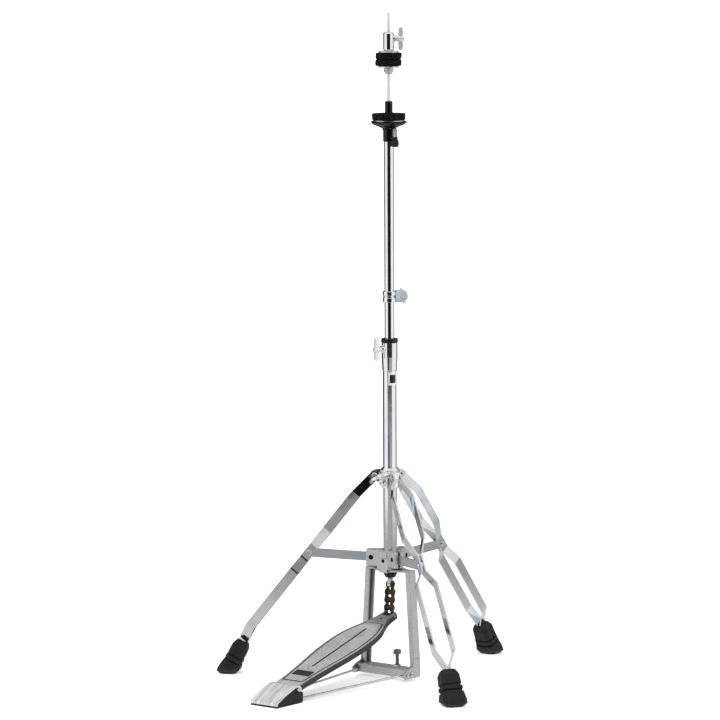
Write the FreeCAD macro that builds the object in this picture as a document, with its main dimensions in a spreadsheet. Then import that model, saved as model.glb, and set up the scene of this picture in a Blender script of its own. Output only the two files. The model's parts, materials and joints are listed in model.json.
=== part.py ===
"""Parametric model of a hi-hat cymbal stand: three folding legs, chain-driven pedal, clutch and seat.

Frame: origin on the floor below the pull rod, +Z up, the player's heel towards -Y, +X to the player's right.
Lengths are millimetres and angles are degrees.
"""

import FreeCAD, Part
import math
import os
import re

import Sketcher

V = FreeCAD.Vector
UP = V(0, 0, 1)
FOLDER = "parts"

SIZES = {
    # Tubes and rods, all on the Z axis
    "lower_r": 11.1,
    "lower_bore": 9.9,
    "lower_low": 177.0,
    "lower_top": 541.0,
    "upper_r": 7.95,
    "upper_bore": 6.8,
    "upper_low": 440.0,
    "upper_top": 881.0,
    "rod_r": 3.0,
    "rod_bore": 3.05,
    "rod_top": 1069.8,
    "rod_joint": 347.0,
    "rod_low": 156.0,
    "coupler_r": 5.4,
    "coupler_low": 328.0,
    "coupler_top": 366.0,
    "spring_r": 7.2,
    "spring_wire_r": 1.0,
    "spring_low": 201.2,
    "spring_top": 326.8,
    "spring_turns": 16.0,
    # Socket clamp on top of the lower tube, and its plastic bush
    "socket_low": 497.3,
    "socket_top": 543.2,
    "socket_r": 12.9,
    "socket_neck_r": 11.8,
    "bush_r": 13.5,
    "bush_top": 549.7,
    "screw_r": 3.0,
    "screw_hole_r": 3.1,
    "height_screw_z": 533.0,
    # Wing screws
    "wing_span": 18.2,
    "wing_depth": 8.3,
    "wing_thick": 4.6,
    "wing_hub_r": 4.7,
    # Memory lock ring on the upper tube
    "memory_low": 607.6,
    "memory_high": 17.7,
    "memory_r": 10.9,
    "memory_waist_r": 9.7,
    "memory_lug": 29.5,
    "memory_lug_high": 19.6,
    "memory_lug_wide": 11.0,
    "memory_span": 13.2,
    "memory_slit": 2.4,
    "memory_screw_r": 21.0,
    # Collar that carries the legs
    "collar_low": 308.5,
    "collar_top": 340.8,
    "collar_r": 15.4,
    "collar_bore": 11.15,
    "leg_pivot_r": 24.1,
    "leg_pivot_z": 328.6,
    "lug_wide": 9.0,
    "pivot_pin_r": 2.5,
    "pivot_hole_r": 2.56,
    "collar_screw_z": 330.0,
    "collar_bump_z": 317.0,
    # Leg strips: distances run along the leg from its top pivot
    "strip_wide": 15.5,
    "strip_thick": 2.5,
    "strip_at_lug": 5.8,
    "strip_flare": 16.5,
    "strip_pinch": 3.0,
    "flare_start": 9.0,
    "flare_full": 40.0,
    "pinch_start": 117.0,
    "pinch_low": 153.0,
    "link_joint": 167.5,
    "pinch_high": 180.0,
    "flare_again": 203.0,
    "foot_pinch_start": 322.0,
    "foot_pinch": 347.5,
    "leg_slope": 49.99,
    "knee_along": 46.0,
    "knee_rise": 3.45,
    "leg_bend": 322.7,
    "leg_tail": 66.0,
    "tail_slope": 63.4,
    "foot_long": 58.0,
    "sole_high": 7.0,
    # Stays between the hub and the legs
    "stay_pivot_r": 30.0,
    "stay_pivot_z": 195.5,
    "stay_long": 101.9,
    "stay_wide": 14.5,
    "stay_thick": 3.0,
    "stay_rise": 2.7,
    # Hub casting under the tube
    "hub_low": 177.4,
    "hub_top": 207.9,
    "hub_boss_low": 171.4,
    "hub_boss_r": 12.4,
    "hub_rise": 4.8,
    "hub_face": 19.0,
    "hub_face_wide": 18.0,
    "lug_reach": 38.5,
    "lug_half": 7.8,
    "clevis_gap": 3.5,
    "plug_low": 162.4,
    "plug_r": 10.8,
    "plug_tip_r": 8.4,
    # Pedal frame: two channels and a top plate bent from one sheet
    "arch_top": 177.2,
    "arch_low": 5.0,
    "arch_half_top": 45.0,
    "arch_half_low": 54.5,
    "channel_deep": 16.0,
    "channel_flange": 8.5,
    "sheet": 2.3,
    "shoe_front": 32.0,
    "shoe_rear": 8.0,
    "bridge_top": 19.0,
    "bridge_front": 22.0,
    "bridge_screw_y": 13.5,
    "bridge_screw_z": 11.0,
    "nut_half": 4.4,
    "eye_y": 26.5,
    "eye_z": 11.5,
    "anchor_x": 20.0,
    "anchor_y": 8.0,
    "anchor_r": 3.0,
    # Yoke and drive chain
    "chain_top": 151.0,
    "chain_lean": 4.5,
    "pitch": 12.7,
    "link_r": 5.7,
    "link_waist": 3.9,
    "plate": 1.5,
    "roller_r": 4.2,
    "roller_half": 3.7,
    "chain_pin_r": 1.95,
    "toe_play": 0.85,
    # Footboard and heel plate
    "hinge_y": 262.0,
    "hinge_z": 22.5,
    "board_top": 4.2,
    "board_skirt": 9.5,
    "board_sheet": 3.2,
    "hinge_pin_r": 2.2,
    "heel_half": 27.0,
    "heel_front": 319.0,
    "heel_nose": 8.5,
    "heel_sheet": 2.6,
    "heel_crest": 1.8,
    "hinge_gap": 44.0,
    "radius_rod_r": 2.0,
    "radius_rod_x": 46.5,
    # Lower cymbal seat
    "sleeve_low": 864.4,
    "sleeve_top": 885.1,
    "sleeve_r": 9.2,
    "cup_low": 886.2,
    "cup_high": 897.0,
    "cup_neck_r": 12.5,
    "cup_r": 28.5,
    "seat_felt_low": 899.4,
    "seat_felt_top": 909.3,
    "seat_felt_r": 26.7,
    "stem_r": 6.15,
    "stem_low_r": 5.8,
    "stem_bore": 5.0,
    "stem_top": 928.8,
    "seat_axis_z": 891.0,
    "trunnion_r": 1.6,
    "tilt_r": 15.5,
    "tilt_lug_low": 868.9,
    "tilt_lug_thick": 3.4,
    "tilt_screw_r": 2.4,
    "knob_low": 856.4,
    "knob_top": 868.6,
    "knob_r": 6.0,
    # Clutch that grips the rod
    "clutch_low": 1008.6,
    "clutch_top": 1038.3,
    "clutch_r": 8.6,
    "clutch_tube_r": 5.6,
    "clutch_screw_z": 1028.0,
    "washer_r": 16.0,
    "washer_thick": 2.4,
    "felt_r": 21.2,
    "felt_bore": 6.0,
    "felt_thick": 10.3,
    "felt_gap": 0.4,
    "nut_low": 972.5,
    "nut_high": 9.6,
    "nut_r": 7.8,
}

LEGS = {"back": 90, "left": 210, "right": 330}
HEIGHT_SCREW_SIDE = 252
COLLAR_SCREW_SIDE = 280
COLLAR_BUMP_SIDE = 262
COLLAR_WING_LEAN = 22
MEMORY_LUG_SIDE = 38
MEMORY_WING_LEAN = 12
CLUTCH_SCREW_SIDE = 38
TILT_SIDE = -12
TRUNNION_OUT = 9.4

doc = FreeCAD.newDocument("hi_hat_stand")
sheet = doc.addObject("Spreadsheet::Sheet", "Sizes")
exported = []


def fill_sheet():
    """Writes every driving size to the sheet: its name, its value and its alias."""
    for row, (name, value) in enumerate(SIZES.items(), start=1):
        sheet.set(f"A{row}", name)
        sheet.set(f"B{row}", str(value))
        sheet.setAlias(f"B{row}", name)
    doc.recompute()


def size(name):
    """The number that the sheet holds under this alias."""
    return float(sheet.get(name))


def formula(text):
    """The text as a document expression: each size's name gets the sheet's name in front."""
    return re.sub(
        r"[a-z][a-z_]*",
        lambda found: "Sizes." + found.group(0) if found.group(0) in SIZES else found.group(0),
        str(text),
    )


def bind(thing, **properties):
    """Binds properties of a document object to formulas in the sheet's sizes."""
    for name, text in properties.items():
        thing.setExpression(name, formula(text))


def export(thing, label):
    """Names an object as a sub-part, to be written at the end."""
    thing.Label = label
    exported.append(thing)
    return thing


# ---- sketches and PartDesign features ----


def new_body(label):
    """An empty body."""
    body = doc.addObject("PartDesign::Body", label)
    body.Label = label
    return body


def new_sketch(body, role, offset="0"):
    """An empty sketch on one of the body's origin planes, moved off it along its normal."""
    plane = next(f for f in body.Origin.OriginFeatures if f.Role == role)
    sketch = body.newObject("Sketcher::SketchObject", "Sketch")
    sketch.AttachmentSupport = (plane, [""])
    sketch.MapMode = "FlatFace"
    sketch.setExpression("AttachmentOffset.Base.z", formula(offset))
    return sketch


def pin_point(sketch, index, corner, across, along):
    """Fixes a sketch point at two formulas from the sketch's origin."""
    for kind, text in (("DistanceX", across), ("DistanceY", along)):
        number = sketch.addConstraint(Sketcher.Constraint(kind, -1, 1, index, corner, 1.0))
        sketch.setExpression(f"Constraints[{number}]", formula(text))


def add_loop(sketch, points):
    """A closed loop of lines through points, each a pair of formulas."""
    first = sketch.GeometryCount
    count = len(points)
    turn = 2 * math.pi / count
    spots = [V(math.cos(k * turn), math.sin(k * turn), 0) for k in range(count)]
    for k in range(count):
        sketch.addGeometry(Part.LineSegment(spots[k], spots[(k + 1) % count]), False)
    for k in range(count):
        sketch.addConstraint(Sketcher.Constraint("Coincident", first + k, 2, first + (k + 1) % count, 1))
        pin_point(sketch, first + k, 1, *points[k])


def add_circle(sketch, across, along, radius):
    """A circle with its centre and radius given by formulas."""
    index = sketch.addGeometry(Part.Circle(V(1, 1, 0), UP, 1.0), False)
    pin_point(sketch, index, 3, across, along)
    number = sketch.addConstraint(Sketcher.Constraint("Radius", index, 1.0))
    sketch.setExpression(f"Constraints[{number}]", formula(radius))


def feature(body, kind, sketch, length, both_ways=True, backward=False):
    """A pad or pocket of a sketch, to both sides of its plane or to one."""
    made = body.newObject(f"PartDesign::{kind}", kind)
    made.Profile = sketch
    made.SideType = "Symmetric" if both_ways else "One side"
    made.Reversed = backward
    bind(made, Length=length)
    sketch.Visibility = False
    return made


def pad(body, role, points, length):
    """A pad of a closed outline, centred on one of the body's planes."""
    sketch = new_sketch(body, role)
    add_loop(sketch, points)
    return feature(body, "Pad", sketch, length)


def pocket(body, role, points, length):
    """A pocket of a closed outline, centred on one of the body's planes."""
    sketch = new_sketch(body, role)
    add_loop(sketch, points)
    return feature(body, "Pocket", sketch, length)


def drill(body, role, across, along, radius, length):
    """A round hole, centred on one of the body's planes."""
    sketch = new_sketch(body, role)
    add_circle(sketch, across, along, radius)
    return feature(body, "Pocket", sketch, length)


def revolve(body, points):
    """A full turn about Z of an outline of (radius, height) pairs."""
    sketch = new_sketch(body, "XZ_Plane")
    add_loop(sketch, points)
    made = body.newObject("PartDesign::Revolution", "Revolution")
    made.Profile = sketch
    made.ReferenceAxis = (sketch, ["V_Axis"])
    made.Angle = 360
    return made


def turned(label, points):
    """A body turned about Z from an outline of (radius, height) pairs."""
    body = new_body(label)
    revolve(body, points)
    return body


def tube(label, outer, bore, low, top, edge="0.4"):
    """A tube with a small chamfer on its outer edges."""
    return turned(
        label,
        [
            (bore, low),
            (f"{outer} - {edge}", low),
            (outer, f"{low} + {edge}"),
            (outer, f"{top} - {edge}"),
            (f"{outer} - {edge}", top),
            (bore, top),
        ],
    )


def soften(body, radius, chosen, kind="Fillet"):
    """Rounds or bevels the edges of the body's last feature that the test picks."""
    doc.recompute()
    tip = body.Tip
    names = [f"Edge{k}" for k, edge in enumerate(tip.Shape.Edges, start=1) if chosen(edge)]
    made = body.newObject(f"PartDesign::{kind}", kind)
    made.Base = (tip, names)
    if kind == "Fillet":
        made.Radius = radius
    else:
        made.Size = radius
    return made


def runs_along(axis, edge):
    """Whether an edge is straight and parallel to a direction."""
    if edge.Curve.TypeId != "Part::GeomLine":
        return False
    return abs(abs(edge.tangentAt(edge.FirstParameter).dot(axis)) - 1) < 1e-6


def middle(edge):
    """The point halfway along an edge's box."""
    return edge.BoundBox.Center


# ---- placing ----


def shifted(x, y, z):
    """A placement that moves a piece without turning it."""
    return FreeCAD.Placement(V(x, y, z), FreeCAD.Rotation())


def turn_to(side):
    """A placement that turns a piece drawn towards +X to another side."""
    return FreeCAD.Placement(V(0, 0, 0), FreeCAD.Rotation(UP, side))


def pointing(origin, along, blade):
    """A placement that carries local Z to one direction and local X to another."""
    return FreeCAD.Placement(origin, FreeCAD.Rotation(blade, along.cross(blade), along, "ZXY"))


def cylinder(name, radius, length, placement=None):
    """A Part cylinder bound to formulas."""
    made = doc.addObject("Part::Cylinder", name)
    bind(made, Radius=radius, Height=length)
    if placement:
        made.Placement = placement
    return made


def box(name, long, wide, high, placement=None):
    """A Part box bound to formulas."""
    made = doc.addObject("Part::Box", name)
    bind(made, Length=long, Width=wide, Height=high)
    if placement:
        made.Placement = placement
    return made


def fuse(name, pieces):
    """One solid from several."""
    made = doc.addObject("Part::MultiFuse", name)
    made.Shapes = pieces
    made.Refine = True
    return made


def subtract(name, whole, pieces):
    """A solid with others cut out of it."""
    made = doc.addObject("Part::Cut", name)
    made.Base = whole
    made.Tool = pieces[0] if len(pieces) == 1 else fuse(name + "_tools", pieces)
    made.Refine = True
    return made


def group(label, pieces):
    """Separate solids kept as one sub-part."""
    made = doc.addObject("Part::Compound", label)
    made.Links = pieces
    return export(made, label)


def solid(label, shape):
    """A sub-part whose shape is set directly."""
    made = doc.addObject("Part::Feature", label)
    made.Shape = shape
    return made


# ---- tubes and rods ----


def make_tubes():
    """Both tubes; the lower one has a hole for the height screw."""
    lower = tube("lower_tube_plain", "lower_r", "lower_bore", "lower_low", "lower_top")
    doc.recompute()
    side = turn_to(HEIGHT_SCREW_SIDE).multiply(
        pointing(V(0, 0, size("height_screw_z")), V(1, 0, 0), UP)
    )
    hole = cylinder("lower_tube_hole", "screw_hole_r", "lower_r * 2", side)
    export(subtract("lower_tube_drilled", lower, [hole]), "lower_tube")
    export(tube("upper_tube", "upper_r", "upper_bore", "upper_low", "upper_top"), "upper_tube")


def make_rods():
    """The pull rod in two lengths, joined by a long nut inside the tube."""
    export(tube_rod("upper_rod", "rod_joint", "rod_top"), "upper_rod")
    export(tube_rod("lower_rod", "rod_low", "rod_joint"), "lower_rod")
    coupler = tube("rod_coupler", "coupler_r", "rod_r", "coupler_low", "coupler_top", "0.8")
    for side in (-1, 1):
        pocket(
            coupler,
            "YZ_Plane",
            [
                (f"{side} * 4.6", "rod_joint - 6"),
                (f"{side} * 9", "rod_joint - 6"),
                (f"{side} * 9", "rod_joint + 6"),
                (f"{side} * 4.6", "rod_joint + 6"),
            ],
            "20",
        )
    export(coupler, "rod_coupler")


def tube_rod(label, low, top):
    """A solid rod with bevelled ends."""
    return turned(
        label,
        [
            ("0", low),
            ("rod_r - 0.7", low),
            ("rod_r", f"{low} + 0.7"),
            ("rod_r", f"{top} - 0.7"),
            ("rod_r - 0.7", top),
            ("0", top),
        ],
    )


def coil(label, radius, wire, low, top, turns):
    """A helical spring about Z whose last half turns lie flat enough to bear."""
    rise = top - low - 2 * wire
    helix = Part.makeHelix(rise / turns, rise, radius)
    circle = Part.Wire([Part.makeCircle(wire, V(radius, 0, 0), V(0, 1, 0))])
    coil_shape = Part.Wire(helix).makePipeShell([circle], True, True)
    coil_shape.translate(V(0, 0, low + wire))
    return solid(label, coil_shape)


def make_return_spring():
    """The spring that lifts the rod, between the plug and the long nut."""
    spring = coil(
        "return_spring",
        size("spring_r"),
        size("spring_wire_r"),
        size("spring_low"),
        size("spring_top"),
        size("spring_turns"),
    )
    export(spring, "return_spring")


# ---- clamps and wing screws ----


def wing_screw(label, shank, neck, span="wing_span"):
    """A wing screw drawn along +Z from its tip, with its rounded blades along X."""
    body = new_body(label)
    high = f"{shank} + {neck}"
    blade = []
    for side in (1, -1):
        half = [
            (f"{side} * 3", f"{high} + 1"),
            (f"{side} * {span} * 0.4", high),
            (f"{side} * {span}", f"{high} + 0.4"),
            (f"{side} * {span}", f"{high} + wing_depth - 0.4"),
            (f"{side} * {span} * 0.4", f"{high} + wing_depth"),
            (f"{side} * 3", f"{high} + wing_depth - 1"),
        ]
        blade += half if side == 1 else half[::-1]
    pad(body, "XZ_Plane", blade, "wing_thick")
    tip_x = size(span) * 0.8
    soften(body, 3.4, lambda edge: runs_along(V(0, 1, 0), edge) and abs(middle(edge).x) > tip_x)
    soften(body, 1.1, lambda edge: abs(middle(edge).y) > 2.2 and not runs_along(V(0, 1, 0), edge))
    revolve(
        body,
        [
            ("0", "0"),
            ("screw_r - 0.6", "0"),
            ("screw_r", "0.6"),
            ("screw_r", shank),
            ("wing_hub_r", shank),
            ("wing_hub_r", f"{high} + 3"),
            ("wing_hub_r - 0.4", f"{high} + wing_depth"),
            ("wing_hub_r - 1.4", f"{high} + wing_depth + 1.4"),
            ("0", f"{high} + wing_depth + 1.8"),
        ],
    )
    return body


def make_socket():
    """The chromed clamp at the top of the lower tube, its plastic bush and its wing screw."""
    shell = turned(
        "socket_shell",
        [
            ("lower_r + 0.02", "socket_low"),
            ("socket_neck_r - 0.3", "socket_low"),
            ("socket_neck_r", "socket_low + 0.8"),
            ("socket_r", "socket_low + 22"),
            ("socket_r", "socket_top - 0.8"),
            ("socket_r - 0.8", "socket_top"),
            ("lower_r + 0.02", "socket_top"),
        ],
    )
    outward = pointing(V(0, 0, size("height_screw_z")), V(1, 0, 0), UP)
    side = turn_to(HEIGHT_SCREW_SIDE)
    boss = turned(
        "socket_boss",
        [
            ("0", "lower_r + 0.6"),
            ("6.4", "lower_r + 0.6"),
            ("5.8", "socket_r + 2"),
            ("5.2", "socket_r + 3.6"),
            ("4.6", "socket_r + 4.1"),
            ("0", "socket_r + 4.1"),
        ],
    )
    boss.Placement = side.multiply(outward)
    hole = cylinder("socket_screw_hole", "screw_hole_r", "40", side.multiply(outward))
    core = cylinder("socket_core", "lower_r + 0.02", "80")
    core.Placement.Base.z = size("socket_low") - 10
    joined = fuse("socket_joined", [shell, boss])
    export(subtract("tube_socket", joined, [core, hole]), "tube_socket")

    bush = turned(
        "bush_turned",
        [
            ("upper_r + 0.05", "lower_top - 34"),
            ("lower_bore - 0.02", "lower_top - 34"),
            ("lower_bore - 0.02", "socket_top + 0.1"),
            ("bush_r", "socket_top + 0.1"),
            ("bush_r", "bush_top - 1.4"),
            ("bush_r - 1.4", "bush_top"),
            ("upper_r + 0.05", "bush_top"),
        ],
    )
    bush_hole = cylinder("bush_screw_hole", "screw_hole_r", "20", side.multiply(outward))
    export(subtract("socket_bush", bush, [bush_hole]), "socket_bush")

    screw = wing_screw("height_wing_screw", "socket_r + 4.3 - upper_r", "3.5")
    start = V(size("upper_r") + 0.1, 0, size("height_screw_z"))
    screw.Placement = side.multiply(pointing(start, V(1, 0, 0), UP))
    export(screw, "height_wing_screw")


def make_memory_lock():
    """The split ring that marks the height on the upper tube, with its wing screw."""
    low = "memory_low"
    ring = turned(
        "memory_ring",
        [
            ("upper_r + 0.05", low),
            ("memory_r - 0.7", low),
            ("memory_r", f"{low} + 0.7"),
            ("memory_r", f"{low} + 6.6"),
            ("memory_waist_r", f"{low} + 7.8"),
            ("memory_waist_r", f"{low} + 9.9"),
            ("memory_r", f"{low} + 11.1"),
            ("memory_r", f"{low} + memory_high - 0.7"),
            ("memory_r - 0.7", f"{low} + memory_high"),
            ("upper_r + 0.05", f"{low} + memory_high"),
        ],
    )
    lug = new_body("memory_lug")
    pad(
        lug,
        "XZ_Plane",
        [
            ("9", f"{low} - 0.4"),
            ("memory_lug", f"{low} - 0.4"),
            ("memory_lug", f"{low} - 0.4 + memory_lug_high"),
            ("9", f"{low} - 0.4 + memory_lug_high"),
        ],
        "memory_lug_wide",
    )
    soften(lug, 8.6, lambda edge: runs_along(V(0, 1, 0), edge) and middle(edge).x > 20)
    soften(lug, 0.8, lambda edge: abs(middle(edge).y) > 5 and middle(edge).x > 9.5)
    slit = box("memory_slit_cut", "40", "memory_slit", "memory_lug_high + 2")
    slit.Placement.Base = V(0, -size("memory_slit") / 2, size("memory_low") - 1)
    core = cylinder("memory_core", "upper_r + 0.05", "memory_lug_high + 2")
    core.Placement.Base.z = size("memory_low") - 1
    hole_high = size("memory_low") + size("memory_high") / 2
    hole = cylinder("memory_hole", "screw_hole_r", "60")
    hole.Placement = pointing(V(size("memory_screw_r"), 30, hole_high), V(0, -1, 0), UP)
    joined = fuse("memory_joined", [ring, lug])
    lock = subtract("memory_lock", joined, [slit, core, hole])
    lock.Placement = turn_to(MEMORY_LUG_SIDE)
    export(lock, "memory_lock")

    screw = wing_screw("memory_wing_screw", "memory_lug_wide + 2.2", "2", "memory_span")
    start = V(size("memory_screw_r"), -size("memory_lug_wide") / 2 - 2, hole_high)
    lean = math.radians(MEMORY_WING_LEAN)
    blade = V(-math.sin(lean), 0, math.cos(lean))
    screw.Placement = turn_to(MEMORY_LUG_SIDE).multiply(pointing(start, V(0, 1, 0), blade))
    export(screw, "memory_wing_screw")


# ---- legs ----


def make_collar():
    """The sliding collar, with three lugs for the legs, their pins and a wing screw."""
    ring = turned(
        "collar_ring",
        [
            ("collar_bore", "collar_low"),
            ("collar_r - 1", "collar_low"),
            ("collar_r", "collar_low + 1"),
            ("collar_r", "collar_top - 4"),
            ("collar_r - 2.2", "collar_top"),
            ("collar_bore", "collar_top"),
        ],
    )
    pieces = [ring]
    pins = []
    for side in LEGS.values():
        lug = new_body(f"collar_lug_{side}")
        pad(
            lug,
            "XZ_Plane",
            [
                ("12.5", "leg_pivot_z - 13"),
                ("leg_pivot_r - 3", "leg_pivot_z - 10"),
                ("leg_pivot_r + 6.6", "leg_pivot_z - 5"),
                ("leg_pivot_r + 6.6", "leg_pivot_z + 6"),
                ("leg_pivot_r - 1", "leg_pivot_z + 8.5"),
                ("12.5", "leg_pivot_z + 9.5"),
            ],
            "lug_wide",
        )
        soften(lug, 3, lambda edge: runs_along(V(0, 1, 0), edge) and middle(edge).x > 22)
        drill(lug, "XZ_Plane", "leg_pivot_r", "leg_pivot_z", "pivot_pin_r + 0.01", "30")
        lug.Placement = turn_to(side)
        pieces.append(lug)
        pin = pivot_pin(f"collar_pin_{side}", "strip_at_lug + strip_thick / 2 + 0.15", "4.6", "2.2")
        spot = V(size("leg_pivot_r"), 0, size("leg_pivot_z"))
        pin.Placement = turn_to(side).multiply(pointing(spot, V(0, -1, 0), UP))
        pins.append(pin)
    boss = turned(
        "collar_boss",
        [
            ("0", "collar_bore + 0.5"),
            ("6.6", "collar_bore + 0.5"),
            ("6.2", "collar_r + 4"),
            ("5.4", "collar_r + 6.5"),
            ("0", "collar_r + 6.5"),
        ],
    )
    out = turn_to(COLLAR_SCREW_SIDE).multiply(
        pointing(V(0, 0, size("collar_screw_z")), V(1, 0, 0), UP)
    )
    boss.Placement = out
    hole = cylinder("collar_screw_hole", "screw_hole_r", "40", out)
    bump = turned(
        "collar_bump",
        [
            ("0", "collar_bore + 0.5"),
            ("6.4", "collar_bore + 0.5"),
            ("6.4", "collar_r + 4"),
            ("4.8", "collar_r + 5.6"),
            ("2.4", "collar_r + 5.6"),
            ("2.4", "collar_r + 1"),
            ("0", "collar_r + 1"),
        ],
    )
    bump.Placement = turn_to(COLLAR_BUMP_SIDE).multiply(
        pointing(V(0, 0, size("collar_bump_z")), V(1, 0, 0), UP)
    )
    core = cylinder("collar_core", "collar_bore", "60")
    core.Placement.Base.z = size("collar_low") - 10
    joined = fuse("collar_joined", pieces + [boss, bump])
    export(subtract("leg_collar", joined, [core, hole]), "leg_collar")
    group("collar_pins", pins)

    screw = wing_screw("collar_wing_screw", "collar_r + 6.7 - lower_r", "4.2")
    lean = math.radians(COLLAR_WING_LEAN)
    screw.Placement = turn_to(COLLAR_SCREW_SIDE).multiply(
        pointing(
            V(size("lower_r") + 0.1, 0, size("collar_screw_z")),
            V(1, 0, 0),
            V(0, math.cos(lean), math.sin(lean)),
        )
    )
    export(screw, "collar_wing_screw")


def pivot_pin(name, half, head_r, head):
    """A round pin along Z with a domed head at each end."""
    return turned(
        name,
        [
            ("0", f"-({half}) - {head}"),
            (f"{head_r} - 1.6", f"-({half}) - {head}"),
            (head_r, f"-({half}) - 0.8"),
            (head_r, f"-({half})"),
            ("pivot_pin_r", f"-({half})"),
            ("pivot_pin_r", half),
            (head_r, half),
            (head_r, f"{half} + 0.8"),
            (f"{head_r} - 1.6", f"{half} + {head}"),
            ("0", f"{half} + {head}"),
        ],
    )


def strip_path(offset):
    """The corners of one strip's edge seen from above: (distance along the leg, sideways place)."""
    return [
        ("-strip_wide / 2 - 1", f"strip_at_lug + {offset}"),
        ("flare_start", f"strip_at_lug + {offset}"),
        ("flare_full", f"strip_flare + {offset}"),
        ("pinch_start", f"strip_flare + {offset}"),
        ("pinch_low", f"strip_pinch + {offset}"),
        ("pinch_high", f"strip_pinch + {offset}"),
        ("flare_again", f"strip_flare + {offset}"),
        ("foot_pinch_start", f"strip_flare + {offset}"),
        ("foot_pinch", f"strip_pinch + {offset}"),
        ("leg_bend + leg_tail + 10", f"strip_pinch + {offset}"),
    ]


def leg_line():
    """The corners of a leg's centre line seen from its side: (distance along the leg, rise above it)."""
    knee = (size("knee_along"), size("knee_rise"))
    fall = size("knee_rise") / (size("link_joint") - size("knee_along"))
    bend = (size("leg_bend"), -fall * (size("leg_bend") - size("link_joint")))
    dive = math.radians(size("tail_slope") - size("leg_slope"))
    tail = size("leg_tail")
    tip = (bend[0] + tail * math.cos(dive), bend[1] - tail * math.sin(dive))
    return [(0.0, 0.0), knee, bend, tip]


def strip_sides():
    """The upper and lower edges of a strip's side view, set off from the leg's line by half its width."""
    line = [V(x, y, 0) for x, y in leg_line()]
    half = size("strip_wide") / 2
    runs = [(b - a).normalize() for a, b in zip(line, line[1:])]
    spots = [line[0] - runs[0] * half] + line[1:]
    ways = list(zip([runs[0]] + runs, runs + [runs[-1]]))
    upper = []
    lower = []
    for spot, (into, out) in zip(spots, ways):
        across = V(-into.y - out.y, into.x + out.x, 0).normalize()
        reach = half / across.dot(V(-out.y, out.x, 0))
        for side, edge in ((1, upper), (-1, lower)):
            corner = spot + across * side * reach
            edge.append((f"{corner.x:.4f}", f"{corner.y:.4f}"))
    return upper, lower


def leg_strip(name):
    """One bent strip of a leg, drawn along +X from its top pivot, on the +Y side."""
    bends = new_body(name + "_bends")
    pad(bends, "XY_Plane", strip_path("strip_thick / 2") + strip_path("-strip_thick / 2")[::-1], "140")
    inside = size("leg_bend") + size("leg_tail")
    soften(bends, 5, lambda edge: runs_along(UP, edge) and 0 < middle(edge).x < inside)
    side = new_body(name + "_side")
    upper, lower = strip_sides()
    pad(side, "XZ_Plane", lower + upper[::-1], "60")
    soften(side, 7.6, lambda edge: runs_along(V(0, 1, 0), edge) and middle(edge).x < 0)
    soften(side, 16, lambda edge: runs_along(V(0, 1, 0), edge) and 30 < middle(edge).x < 345)
    drill(side, "XZ_Plane", "0", "0", "pivot_hole_r", "60")
    drill(side, "XZ_Plane", "link_joint", "0", "pivot_pin_r", "60")
    strip = doc.addObject("Part::Common", name)
    strip.Base = bends
    strip.Tool = side
    return strip


def link_rivet(name):
    """A half rivet along +Y through one strip at the stay's joint, ending at the strip's inner face."""
    rivet = turned(
        name,
        [
            ("0", "strip_pinch - strip_thick / 2"),
            ("pivot_pin_r - 0.01", "strip_pinch - strip_thick / 2"),
            ("pivot_pin_r - 0.01", "strip_pinch + strip_thick / 2"),
            ("4.8", "strip_pinch + strip_thick / 2"),
            ("4.8", "strip_pinch + strip_thick / 2 + 0.8"),
            ("3.2", "strip_pinch + strip_thick / 2 + 2.2"),
            ("0", "strip_pinch + strip_thick / 2 + 2.2"),
        ],
    )
    rivet.Placement = pointing(V(size("link_joint"), 0, 0), V(0, 1, 0), UP)
    return rivet


def mirrored(thing):
    """The piece's mirror image across the leg's middle plane."""
    twin = doc.addObject("Part::Mirroring", thing.Name + "_twin")
    twin.Source = thing
    twin.Normal = V(0, 1, 0)
    return twin


def octagon(wide, deep, high, cut=0.42):
    """An eight-sided wire at a height, with its corners cut by a share of its depth."""
    cut = deep * cut
    corners = [(wide, deep - cut), (wide - cut, deep), (cut - wide, deep), (-wide, deep - cut)]
    corners += [(-x, -y) for x, y in corners]
    return Part.makePolygon([V(y, x, high) for x, y in corners + corners[:1]])


def foot_reach():
    """How far from the axis a leg's line meets the floor, and the length from its bend to there."""
    slope = math.radians(size("leg_slope"))
    steep = math.radians(size("tail_slope"))
    along, rise = leg_line()[2]
    bend_r = size("leg_pivot_r") + along * math.cos(slope) + rise * math.sin(slope)
    bend_z = size("leg_pivot_z") - along * math.sin(slope) + rise * math.cos(slope)
    return bend_r + bend_z / math.tan(steep), bend_z / math.sin(steep)


def foot_shape():
    """A grooved rubber foot along +Z from the floor point, hollowed for the strips' ends."""
    top = size("foot_long")
    stations = [
        (19.6, 17.0, -14.0),
        (20.5, 17.2, 8.0),
        (17.8, 14.8, 21.6),
        (15.9, 12.8, 22.2),
        (15.8, 12.7, 24.4),
        (17.9, 14.8, 25.2),
        (17.4, 14.2, 30.8),
        (15.4, 12.4, 31.6),
        (15.3, 12.3, 33.8),
        (16.8, 13.8, 34.6),
        (15.8, 13.4, top - 8.0),
        (11.4, 9.8, top),
    ]
    wires = [octagon(wide, deep, high) for wide, deep, high in stations]
    foot = Part.makeLoft(wires, True, True)
    inner = size("strip_pinch") + size("strip_thick") / 2 + 0.02
    deep = size("strip_wide") / 2 + 0.02
    floor_to_tip = foot_reach()[1] - size("leg_tail") - 0.1
    slot = Part.makeBox(2 * deep, 2 * inner, 90, V(-deep, -inner, floor_to_tip))
    return foot.cut(slot)


def sole_shape():
    """The space above the floor that a foot fills, with a wide bevel round its sole."""
    high = size("sole_high")
    wires = [
        octagon(14.0, 13.0, 0.0),
        octagon(21.5, 20.5, high),
        octagon(60.0, 60.0, high + 4),
        octagon(60.0, 60.0, high + 90),
    ]
    return Part.makeLoft(wires, True, True)


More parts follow.
